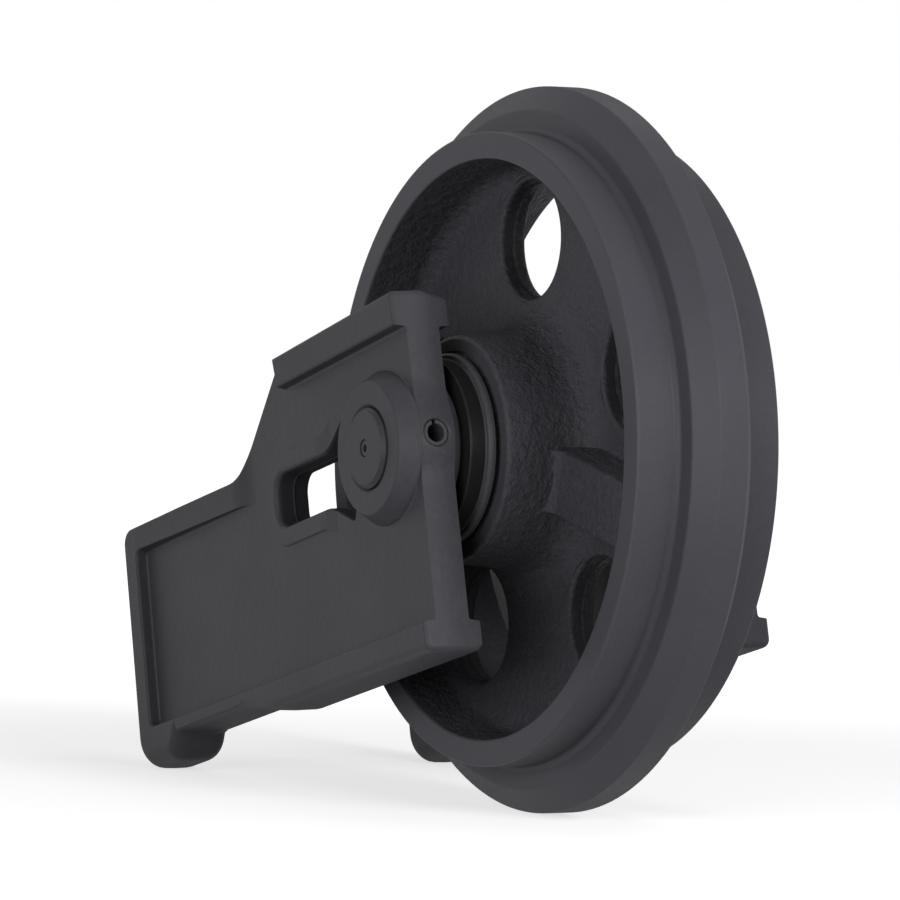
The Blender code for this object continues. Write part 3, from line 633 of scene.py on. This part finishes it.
def web_hole(sizes, index):
    """Tool for one round hole, flared at both faces so that its edges come out round."""
    half = sizes.web_thickness / 2
    edge = sizes.hole_edge
    flare = [(sizes.hole_radius + edge * (1 - math.cos(at)), half - edge + edge * math.sin(at))
             for at in (math.radians(15.0 * step) for step in range(6))]
    top = flare[-1][0]
    half_profile = [(sizes.hole_radius - 0.0001, 0.0012), *flare, (top + 0.0004, half + 0.0004),
                    (top + 0.0004, half + REACH)]
    profile = [(0.0, -half - REACH), *[(r, -a) for r, a in reversed(half_profile)],
               (sizes.hole_radius - 0.0009, 0.0), *half_profile, (0.0, half + REACH)]
    tool = lathe(profile, HOLE_STEPS)
    at = sizes.hole_angle + index * 2 * math.pi / HOLES
    centre = (sizes.hole_circle * math.cos(at), 0.0, sizes.hole_circle * math.sin(at))
    return moved(tool, Matrix.Translation(centre))


def web_pad(sizes):
    """Raised pad on the near side of the web, its top sloping down towards the rim."""
    web = sizes.web_thickness / 2
    inner, outer = sizes.hub_radius - 0.010, sizes.rim_bore + 0.008
    foot, edge, tall, draft, sunk = 0.005, 0.0025, 0.0275, 0.0040, 0.0005
    half = sizes.pad_width / 2 + foot + draft
    outline = [(inner, -half), (outer, -half), (outer, half), (inner, half)]
    pad = block(outline, [(0.0, sunk), *flared(sunk, foot), (foot + draft, tall - edge),
                          *rolled(foot + draft, tall - edge, edge)])
    ends = 0.03
    for vert in pad.verts:
        if vert.co.x < inner + ends:
            vert.co.x = inner
        elif vert.co.x > outer - ends:
            vert.co.x = outer
    start, blend, slope = sizes.hub_radius + 0.0005, 0.010, 0.236
    sliced(pad, [start + blend * (1 - math.cos(math.radians(90 - 11 * step)))
                 for step in range(8)])
    span = sizes.rim_bore - sizes.hub_radius
    for vert in pad.verts:
        share = 1 - (vert.co.x - sizes.hub_radius) / span * slope
        near = (start + blend - vert.co.x) / blend
        rise = round_drop(blend, near) * min(1.0, vert.co.y / tall)
        vert.co.y = -(web + vert.co.y * share + rise) + sunk
    bmesh.ops.recalc_face_normals(pad, faces=pad.faces)
    return moved(pad, Matrix.Rotation(-sizes.pad_angle, 4, "Y"))


class IDLER_OT_wheel(bpy.types.Operator):
    """Build the flanged wheel with its pierced web, raised pad and hub"""
    bl_idname = "idler.wheel"
    bl_label = "Idler Wheel"

    def execute(self, context):
        sizes = context.scene.idler_wheel
        looks = context.scene.idler_finishes
        body = lathe(wheel_section(sizes), WHEEL_STEPS, mirrored=True)
        steps = [("UNION", web_pad(sizes))]
        steps += [("DIFFERENCE", web_hole(sizes, index)) for index in range(HOLES)]
        wheel = moved(carved(body, steps), WHEEL)
        paint = wheel_paint("wheel_paint", looks.wheel, looks.wheel_grain, sizes)
        piece("wheel_casting", wheel, paint, "wheel", "idler_wheel")
        return {"FINISHED"}


def front_end(sizes):
    """Side view of the front end, from the bottom up, with the boss swelling softly out of it."""
    radius, sweep = sizes.boss_radius + 0.0002, 0.060
    turns, sweeps = [], []
    for way in (-1, 1):
        flat = sizes.front_bottom + (sizes.front_top - sizes.front_bottom) * (0.60 + way * 0.145)
        centre_x = flat + sweep
        centre_z = way * math.sqrt((radius + sweep) ** 2 - centre_x ** 2)
        turn = math.atan2(abs(centre_z), centre_x)
        arc = [(centre_x - sweep * math.cos(turn * step / 7),
                centre_z - way * sweep * math.sin(turn * step / 7)) for step in range(7)]
        turns.append(way * turn)
        sweeps.append(arc if way < 0 else arc[::-1])
    barrel = [(radius * math.cos(at), radius * math.sin(at)) for at in
              (turns[0] + (turns[1] - turns[0]) * step / 10 for step in range(11))]
    return [*sweeps[0], *barrel, *sweeps[1]]


def bracket_body(sizes):
    """The bracket's block: its side view, drafted from the parting line to both faces."""
    half = (RAIL_OUTER - RAIL_INNER) / 2
    bottom = -sizes.bottom_drop
    foot = bottom - sizes.foot_drop
    relief = bottom + 0.0095
    foot_front = -sizes.tail_reach + 0.053
    relief_rear = foot_front + 0.011
    relief_front = relief_rear + 0.109
    outline = rounded([
        (-sizes.tail_reach, sizes.tail_height, 0.012),
        (-sizes.tail_reach, foot, 0.016),
        (foot_front, foot, 0.014),
        (relief_rear, relief, 0.008),
        (relief_front, relief, 0.050),
        (relief_front + 0.045, bottom, 0.050),
        (sizes.front_bottom, bottom, 0.0045), *front_end(sizes),
        (sizes.front_top, sizes.top_height + sizes.top_rise, 0.0045),
        (-sizes.top_reach, sizes.top_height, 0.0065),
        (-sizes.slant_reach, sizes.tail_height, 0.025)])
    edge, drafted = sizes.edge, 0.0006
    rings = [(drafted * at / (half - edge), at)
             for at in (half - 0.013, half - 0.0095, half - 0.0065, half - 0.0045, half - edge)]
    shape = block(outline, rings + rolled(drafted, half - edge, edge), mirrored=True)
    front_crown, head_crown, head_taper = 0.0010, 0.0004, 0.0022
    top_slope, tail_crown = 0.0040, 0.0028
    for vert in shape.verts:
        x, across, z = vert.co
        beside = min(1.0, abs(across) / half)
        if x > FRONT_FROM:
            head = clamped((z - 0.045) / 0.035)
            vert.co.x += ((front_crown + head_crown * head) * (1 - beside)
                          - head_taper * head * beside)
        if z > 0.085 and across < 0:
            vert.co.z -= top_slope * beside
        elif z > sizes.tail_height - 0.013 and x < -sizes.slant_reach + 0.010:
            vert.co.z += tail_crown * (1 - beside) * clamped((x + sizes.tail_reach) / 0.03)
        if z < bottom + 0.012:
            softness = 0.013 if x < relief_rear else 0.006
            lift = round_drop(softness, (abs(across) - (half - softness)) / softness)
            already = round_drop(edge, (abs(across) - (half - edge)) / edge)
            vert.co.z += max(0.0, lift - already)
    bmesh.ops.recalc_face_normals(shape, faces=shape.faces)
    return shape


def sunk_from(shape, face, out):
    """Turns a tool inwards, so that it starts its reach outside this face."""
    return moved(shape, Matrix.Translation((0.0, face + out * REACH, 0.0))
                 @ Matrix.Scale(-out, 4, (0, 1, 0)))


def sunk_panel(sizes, face, plate, out):
    """Tool that sinks the panel from a rail face to the plate, its walls filleted."""
    edge, draft, fillet, corner = 0.0022, 0.0006, 0.0020, 0.0085
    spread, rear_spread = 0.0012, 0.0015
    top = sizes.top_height - TOP_LIP + spread
    tail_top = sizes.tail_height - TAIL_LIP + spread
    bottom = -sizes.bottom_drop + BOTTOM_LIP - spread
    rear = -sizes.tail_reach + REAR_LIP - rear_spread
    front, high, rise = 0.100, 0.140, 0.00455
    lip_end = -0.203 if out > 0 else -0.235
    outline = rounded([
        (front, bottom), (front, top + rise),
        (-sizes.top_reach + 0.010, top), (-sizes.top_reach - 0.002, high),
        (lip_end, high), (lip_end, tail_top), (rear, tail_top, corner), (rear, bottom, corner)])
    floor = REACH + abs(face - plate)
    shape = block(outline, [(0.0, REACH), *flared(REACH, edge), (edge + draft, floor - fillet),
                            *rolled(edge + draft, floor - fillet, fillet)])
    return sunk_from(shape, face, out)


def tail_lip_slope(sizes):
    """Tool that lets the lip on top of the tail sink forwards, then fade into the panel."""
    rear, ends, gone, front = -sizes.tail_reach + REAR_LIP, -0.232, -0.200, -0.190
    left, below, tall = 0.0042, 0.010, 0.060
    fade = [(ends + (gone - ends) * step / 8,
             sizes.plate_outer + left * (1 + math.cos(math.pi * step / 8)) / 2)
            for step in range(9)]
    outline = [(rear, RAIL_OUTER), *fade, (front, sizes.plate_outer),
               (front, RAIL_OUTER + REACH), (rear, RAIL_OUTER + REACH)]
    stand = Matrix.Translation((0.0, 0.0, sizes.tail_height - TAIL_LIP - below))
    return moved(block(outline, [(0.0, tall)]), stand @ Matrix.Rotation(math.pi / 2, 4, "X")
                 @ Matrix.Scale(-1, 4, (0, 0, 1)))


def boss_foot(sizes):
    """Soft foot of the boss on both sides of the plate, kept behind the front end."""
    inner, outer = sizes.plate_inner, sizes.plate_outer
    wide = sizes.boss_radius
    shape = lathe([(0.0, sizes.boss_outer - 0.002), (sizes.boss_face, sizes.boss_outer - 0.002),
                   (wide - 0.0012, outer - 0.0001, 0.009), (wide + 0.010, outer - 0.0004),
                   (wide + 0.010, inner + 0.0004), (wide - 0.0012, inner + 0.0001, 0.007),
                   (0.046, COLLAR_BACK + 0.003), (0.0, COLLAR_BACK + 0.003)], TURNED_STEPS)
    for vert in shape.verts:
        radius = math.hypot(vert.co.x, vert.co.z)
        if vert.co.x > 0 and radius > wide - 0.004:
            room = max(wide - 0.004, sizes.front_top * radius / vert.co.x - 0.0030)
            if radius > room:
                vert.co.x *= room / radius
                vert.co.z *= room / radius
    return shape


def boss_core(sizes):
    """The boss round the shaft itself, from the collar to its outer face."""
    back, proud = COLLAR_BACK + FIT, 0.0006
    wide = sizes.boss_radius
    return lathe([(0.0, sizes.boss_outer), (sizes.boss_face, sizes.boss_outer, 0.0022),
                  (wide, sizes.plate_outer + proud, 0.010),
                  (wide, sizes.plate_inner - proud, 0.004),
                  (0.048, back, 0.0015), (0.0, back)], TURNED_STEPS)


def eased(shape, planes, radius):
    """Rounds the front edges of the plate, which lie in these planes across the axle."""
    edges = []
    for edge in shape.edges:
        if len(edge.link_faces) != 2 or edge.calc_face_angle(0.0) < math.radians(50):
            continue
        first, second = (vert.co for vert in edge.verts)
        if min(first.x, second.x) > FRONT_FROM and any(
                abs(first.y - plane) + abs(second.y - plane) < 0.00002 for plane in planes):
            edges.append(edge)
    bmesh.ops.bevel(shape, geom=edges, offset=radius, affect="EDGES", segments=4, profile=0.5,
                    material=-1, clamp_overlap=True)
    return settled(shape)


def slot_rim(sizes):
    """Low raised rim round the slot on the outer face, sinking away towards the boss."""
    rim, sunk = 0.0145, 0.0006
    top, bottom = sizes.slot_top + rim, -sizes.slot_bottom - rim
    outline = rounded([
        (-sizes.slot_reach - rim, top, 0.0285), (-sizes.slot_reach - rim, bottom, 0.0285),
        (-0.0945, bottom, 0.010), (-0.058, bottom - 0.0170), (-0.040, 0.0),
        (-0.058, top + 0.0225), (-0.0925, top, 0.010)])
    foot, edge = 0.0014, 0.0013
    shape = block(outline, [(0.0, sunk), (foot * 0.5, sunk + 0.0002), (foot, sunk + 0.0006),
                            *rolled(foot, sunk + SLOT_RIM_HEIGHT - edge, edge, steps=4)])
    gone, fade = -0.070, 0.036
    sliced(shape, [gone - fade + 0.0045 * step for step in range(9)])
    for vert in shape.verts:
        share = clamped((gone - vert.co.x) / fade)
        vert.co.y -= (SLOT_RIM_HEIGHT + 0.0003) * (1 - share * share * (3 - 2 * share))
    return moved(settled(shape), Matrix.Translation((0.0, sizes.plate_outer - sunk, 0.0)))


def slot(sizes, out):
    """Tool for one half of the slot behind the boss, flared at the face, with flash inside."""
    middle = (sizes.plate_outer + sizes.plate_inner) / 2
    face = sizes.plate_outer + SLOT_RIM_HEIGHT if out > 0 else sizes.plate_inner
    edge, draft, flash, inside = 0.0034, 0.0004, 0.0006, 0.001
    top, bottom = sizes.slot_top + edge - inside, -sizes.slot_bottom - edge + inside
    rear, corner = -sizes.slot_reach - edge + inside, 0.0165
    outline = rounded([
        (rear, top, corner), (rear, bottom, corner),
        (-0.088, bottom, 0.020), (-0.052, bottom - 0.0175, 0.006),
        (-0.030, 0.0), (-0.044, top + 0.0300, 0.006), (-0.088, top, 0.020)])
    parting = REACH + abs(face - middle)
    shape = block(outline, [(0.0, REACH), *flared(REACH, edge), (edge + draft, parting - 0.0009),
                            (edge + draft + flash, parting - 0.0003),
                            (edge + draft + flash, parting + 0.0001)])
    return sunk_from(shape, face, out)


def shaft_bore(sizes, radius):
    """Tool for the shaft's bore, chamfered at the outer face."""
    chamfer = 0.002
    outside, inside = sizes.boss_outer + REACH, RAIL_INNER - REACH
    return lathe([(0.0, outside), (radius + chamfer + REACH, outside),
                  (radius, sizes.boss_outer - chamfer), (radius, inside), (0.0, inside)],
                 TURNED_STEPS)


def upright(shape, place):
    """Turns a shape made about Y so that it points along +X, at this place along the axle."""
    turn = Matrix.Rotation(-math.pi / 2, 4, "Z")
    return moved(shape, Matrix.Translation((0.0, place, 0.0)) @ turn)


def pin_bore(boss_radius, radius, place, depth):
    """Tool for the spring pin's hole from the front of the boss."""
    mouth = boss_radius - 0.001
    outside = boss_radius + REACH
    return upright(lathe([(0.0, outside), (radius + 0.001 + REACH, outside), (radius, mouth),
                          (radius, depth), (0.0, depth)], HOLE_STEPS), place)


class IDLER_OT_brackets(bpy.types.Operator):
    """Build the two cast guide brackets with their lips, bosses and slots"""
    bl_idname = "idler.brackets"
    bl_label = "Guide Brackets"

    def execute(self, context):
        sizes = context.scene.idler_bracket
        axle = context.scene.idler_axle
        looks = context.scene.idler_finishes
        paint = bracket_paint("bracket_paint", looks.bracket, looks.bracket_grain, 0.45)
        middle = (RAIL_OUTER + RAIL_INNER) / 2
        for suffix, side in SIDES:
            body = moved(bracket_body(sizes), Matrix.Translation((0.0, middle, 0.0)))
            body = carved(body, [
                ("DIFFERENCE", sunk_panel(sizes, RAIL_OUTER, sizes.plate_outer, 1)),
                ("DIFFERENCE", sunk_panel(sizes, RAIL_INNER, sizes.plate_inner, -1)),
                ("DIFFERENCE", tail_lip_slope(sizes))])
            eased(body, (sizes.plate_outer, sizes.plate_inner), 0.0026)
            shape = carved(body, [
                ("UNION", slot_rim(sizes)), ("UNION", boss_foot(sizes)),
                ("DIFFERENCE", slot(sizes, 1)), ("DIFFERENCE", slot(sizes, -1)),
                ("UNION", boss_core(sizes)),
                ("DIFFERENCE", shaft_bore(sizes, axle.end_radius + FIT)),
                ("DIFFERENCE", pin_bore(sizes.boss_radius, axle.pin_radius + FIT,
                                        axle.pin_place, 0.0))])
            moved(shape, CARRIER @ Matrix.Scale(side, 4, (0.0, 1.0, 0.0)))
            piece(f"bracket_casting_{suffix}", shape, paint, "carrier",
                  f"bracket_{suffix}")
        return {"FINISHED"}


class IDLER_OT_shaft(bpy.types.Operator):
    """Build the fixed shaft with its oil way and the screwed plug"""
    bl_idname = "idler.shaft"
    bl_label = "Shaft and Plug"

    def execute(self, context):
        sizes = context.scene.idler_axle
        looks = context.scene.idler_finishes
        end, radius = SHAFT_END, sizes.end_radius
        shoulder = COLLAR_BACK
        port, port_floor, oil = 0.006, -end + 0.0101, 0.004
        chamfer, edge = 0.0025, 0.0008
        profile = [(0.0, end - 0.010), (0.0058, end, 0.0004), (radius - chamfer, end, edge),
                   (radius, end - chamfer, edge),
                   (radius, shoulder), (sizes.journal_radius, shoulder, 0.0005),
                   (sizes.journal_radius, -shoulder, 0.0005), (radius, -shoulder),
                   (radius, -end + chamfer, edge), (radius - chamfer, -end, edge),
                   (port, -end, 0.0004), (port, port_floor),
                   (oil, port_floor), (oil, 0.006), (0.0, 0.008)]
        shape = lathe(profile, TURNED_STEPS)
        tools = [("DIFFERENCE", pin_bore(0.0525, sizes.pin_radius + FIT,
                                         side * sizes.pin_place, PIN_HEAD - sizes.pin_length))
                 for _, side in SIDES]
        paint = turned_paint("shaft_paint", looks.shaft, 0.44)
        piece("shaft_bar", moved(carved(shape, tools), CARRIER), paint, "carrier",
              "shaft")
        top, plug_radius, plug_end = end - 0.0008, port - FIT, end - 0.0008 - 0.009
        plug = lathe([(0.0, top), (plug_radius, top, 0.0006), (plug_radius, plug_end),
                      (0.0, plug_end)], 48, side=-1)
        key = 0.0029
        socket = lathe([(0.0, top + REACH), (key, top + REACH), (key, top - 0.004),
                        (0.0, top - 0.0048)], 6, side=-1)
        steel = turned_paint("plug_paint", looks.collar, 0.40)
        piece("oil_plug_screw", moved(carved(plug, [("DIFFERENCE", socket)]), CARRIER), steel,
              "carrier", "oil_plug")
        return {"FINISHED"}


class IDLER_OT_collars(bpy.types.Operator):
    """Build the seal collars between the hub and the brackets"""
    bl_idname = "idler.collars"
    bl_label = "Seal Collars"

    def execute(self, context):
        sizes = context.scene.idler_axle
        looks = context.scene.idler_finishes
        # Painted shade on the collar's cylinder between its lip and the bracket.
        steel = turned_paint("collar_paint", looks.collar, 0.38, shaded_from=0.0806)
        bore = sizes.journal_radius + FIT
        face = COLLAR_BACK - 0.0177
        lip = face + 0.0055
        seat, nose = 0.08565, 0.0365
        groove, groove_half, groove_radius = face + 0.007, 0.0019, 0.0338
        for suffix, side in SIDES:
            shape = lathe([(bore, COLLAR_BACK, 0.0006), (sizes.collar_radius, COLLAR_BACK, 0.0015),
                           (sizes.collar_radius, lip, 0.0010), (sizes.lip_radius, lip, 0.0030),
                           (sizes.lip_radius, face, 0.0010), (SEAL_BORE, face, 0.0005),
                           (SEAL_BORE, seat), (nose, seat), (nose, COLLAR_NOSE, 0.0005),
                           (bore, COLLAR_NOSE), (bore, groove - groove_half),
                           (groove_radius, groove - groove_half),
                           (groove_radius, groove + groove_half), (bore, groove + groove_half)],
                          TURNED_STEPS, closed=True, side=side)
            piece(f"collar_ring_{suffix}", moved(shape, CARRIER), steel, "carrier",
                  f"collar_{suffix}")
        return {"FINISHED"}


class IDLER_OT_pins(bpy.types.Operator):
    """Build the slit spring pins that lock the shaft in the brackets"""
    bl_idname = "idler.pins"
    bl_label = "Spring Pins"

    def execute(self, context):
        sizes = context.scene.idler_axle
        looks = context.scene.idler_finishes
        steel = turned_paint("pin_paint", looks.pin, 0.40)
        outer, inner = sizes.pin_radius, sizes.pin_radius - sizes.pin_wall
        slit = 0.0014
        for suffix, side in SIDES:
            lean = side * math.radians(8.0)
            outline = []
            for radius, order in ((outer, 1), (inner, -1)):
                gap = math.asin(slit / radius)
                turn = 2 * (math.pi - gap)
                points = [(radius * math.cos(at), radius * math.sin(at)) for at in
                          (gap + turn * step / 60 for step in range(61))]
                outline += points[::order]
            shape = block(outline, [(0.0, sizes.pin_length - 0.0006),
                                    (0.0003, sizes.pin_length - 0.0001),
                                    (0.0006, sizes.pin_length)])
            stand = (Matrix.Translation((PIN_HEAD - sizes.pin_length, side * sizes.pin_place, 0.0))
                     @ Matrix.Rotation(-math.pi / 2, 4, "Z")
                     @ Matrix.Rotation(-math.pi / 2 - lean, 4, "Y"))
            piece(f"spring_pin_tube_{suffix}", moved(shape, CARRIER @ stand), steel, "carrier",
                  f"spring_pin_{suffix}")
        return {"FINISHED"}


class IDLER_OT_seals(bpy.types.Operator):
    """Give the bushes, seal rings, torics and O-rings inside the hub their finishes"""
    bl_idname = "idler.seals"
    bl_label = "Bushes and Seals"

    def execute(self, context):
        looks = context.scene.idler_finishes
        lapped = bare_metal("seal_steel", looks.seal, 0.30)
        bronze = bare_metal("bush_bronze", looks.bronze, 0.34)
        rubber = soft_rubber("seal_rubber", looks.rubber)
        for name, node in frame["nodes"].items():
            if "seal_ring" in name:
                finish = lapped
            elif name.startswith("bush"):
                finish = bronze
            elif "toric" in name or "o_ring" in name:
                finish = rubber
            else:
                continue
            node.data.materials.clear()
            node.data.materials.append(finish)
        return {"FINISHED"}


def lamp(name, place, size, energy):
    """A rectangular lamp that points at the axle."""
    data = bpy.data.lights.new(name, "AREA")
    data.shape = "RECTANGLE"
    data.size, data.size_y = size
    data.energy = energy
    item = bpy.data.objects.new(name, data)
    bpy.context.scene.collection.objects.link(item)
    item.location = place
    item.rotation_euler = (AXLE - Vector(place)).to_track_quat("-Z", "Y").to_euler()


def studio_floor(reach):
    """Pale floor that keeps the shadow, and is white from a little way out to whatever sees it."""
    shape = bmesh.new()
    bmesh.ops.create_grid(shape, x_segments=2, y_segments=2, size=reach)
    floor = mesh_object("studio_floor", shape)
    finish = Finish("studio_floor", specular=0.0)
    finish.base(grey(0.60))
    finish.roughness(0.9)
    x, y, _ = finish.axes()
    away = (x * x + y * y).root().between(0.5, 1.6)
    glow = finish.mix(away, grey(0.66), grey(1.0))
    finish.shade("Emission Color", finish.mix(finish.seen_directly(), grey(0.0), glow))
    finish.shade("Emission Strength", 1.0)
    floor.data.materials.append(finish.material)


def studio_world(level):
    """White surroundings that light the object only at this level."""
    world = bpy.data.worlds.new("studio")
    world.use_nodes = True
    bpy.context.scene.world = world
    sky = Nodes(world.node_tree)
    background = sky.tree.nodes["Background"]
    sky.feed(background.inputs["Color"], grey(1.0))
    sky.feed(background.inputs["Strength"], sky.node(
        "ShaderNodeMapRange", {}, {"Value": sky.seen_directly(), "To Min": level, "To Max": 1.0}))


def studio_camera(lens):
    forward = Vector(CAMERA_FORWARD).normalized()
    right = forward.cross(Vector(CAMERA_UP)).normalized()
    up = right.cross(forward)
    camera = bpy.data.objects.new("camera", bpy.data.cameras.new("camera"))
    bpy.context.scene.collection.objects.link(camera)
    turn = Matrix((right, up, -forward)).transposed().to_4x4()
    camera.matrix_world = Matrix.Translation(CAMERA_PLACE) @ turn
    camera.data.lens = lens
    camera.data.sensor_width = 36.0
    camera.data.clip_end = 60.0
    bpy.context.scene.camera = camera


class IDLER_OT_stage(bpy.types.Operator):
    """Set up the pale floor, the soft lamps and the camera"""
    bl_idname = "idler.stage"
    bl_label = "Stage"

    def execute(self, context):
        stage = context.scene.idler_stage
        studio_floor(stage.floor)
        studio_world(stage.sky)
        lamp("left_lamp", (2.1, -2.7, 0.62), (1.9, 1.4), stage.left_lamp)
        lamp("right_lamp", (3.2, 0.45, 1.15), (1.1, 1.1), stage.right_lamp)
        lamp("left_strip", (0.62, -3.3, 0.50), (0.7, 1.3), stage.strip_lamps)
        lamp("right_strip", (0.70, 3.3, 0.60), (0.5, 1.3), stage.strip_lamps * 0.6)
        lamp("top_lamp", (1.2, 0.8, 3.2), (1.6, 1.6), stage.top_lamp)
        studio_camera(stage.lens)
        context.scene.view_settings.view_transform = "Standard"
        return {"FINISHED"}


class IDLER_PT_panel(bpy.types.Panel):
    """Builds the idler piece by piece"""
    bl_idname = "IDLER_PT_panel"
    bl_label = "Excavator Front Idler"
    bl_space_type = "VIEW_3D"
    bl_region_type = "UI"
    bl_category = "Idler"

    def draw(self, context):
        for operator in OPERATORS:
            self.layout.operator(operator.bl_idname)
        for group in GROUPS:
            box = self.layout.box()
            settings = getattr(context.scene, group)
            for name in settings.__annotations__:
                box.prop(settings, name)


GROUPS = {
    "idler_wheel": IdlerWheelSizes,
    "idler_bracket": IdlerBracketSizes,
    "idler_axle": IdlerAxleSizes,
    "idler_finishes": IdlerFinishes,
    "idler_stage": IdlerStage,
}
OPERATORS = (IDLER_OT_wheel, IDLER_OT_brackets, IDLER_OT_shaft, IDLER_OT_collars,
             IDLER_OT_pins, IDLER_OT_seals, IDLER_OT_stage)
CLASSES = (*GROUPS.values(), *OPERATORS, IDLER_PT_panel)


def register():
    for item in CLASSES:
        bpy.utils.register_class(item)
    for name, group in GROUPS.items():
        setattr(bpy.types.Scene, name, PointerProperty(type=group))


def unregister():
    for name in GROUPS:
        delattr(bpy.types.Scene, name)
    for item in reversed(CLASSES):
        bpy.utils.unregister_class(item)


def main():
    register()
    for operator in OPERATORS:
        area, name = operator.bl_idname.split(".")
        getattr(getattr(bpy.ops, area), name)()


if __name__ == "__main__":
    main()
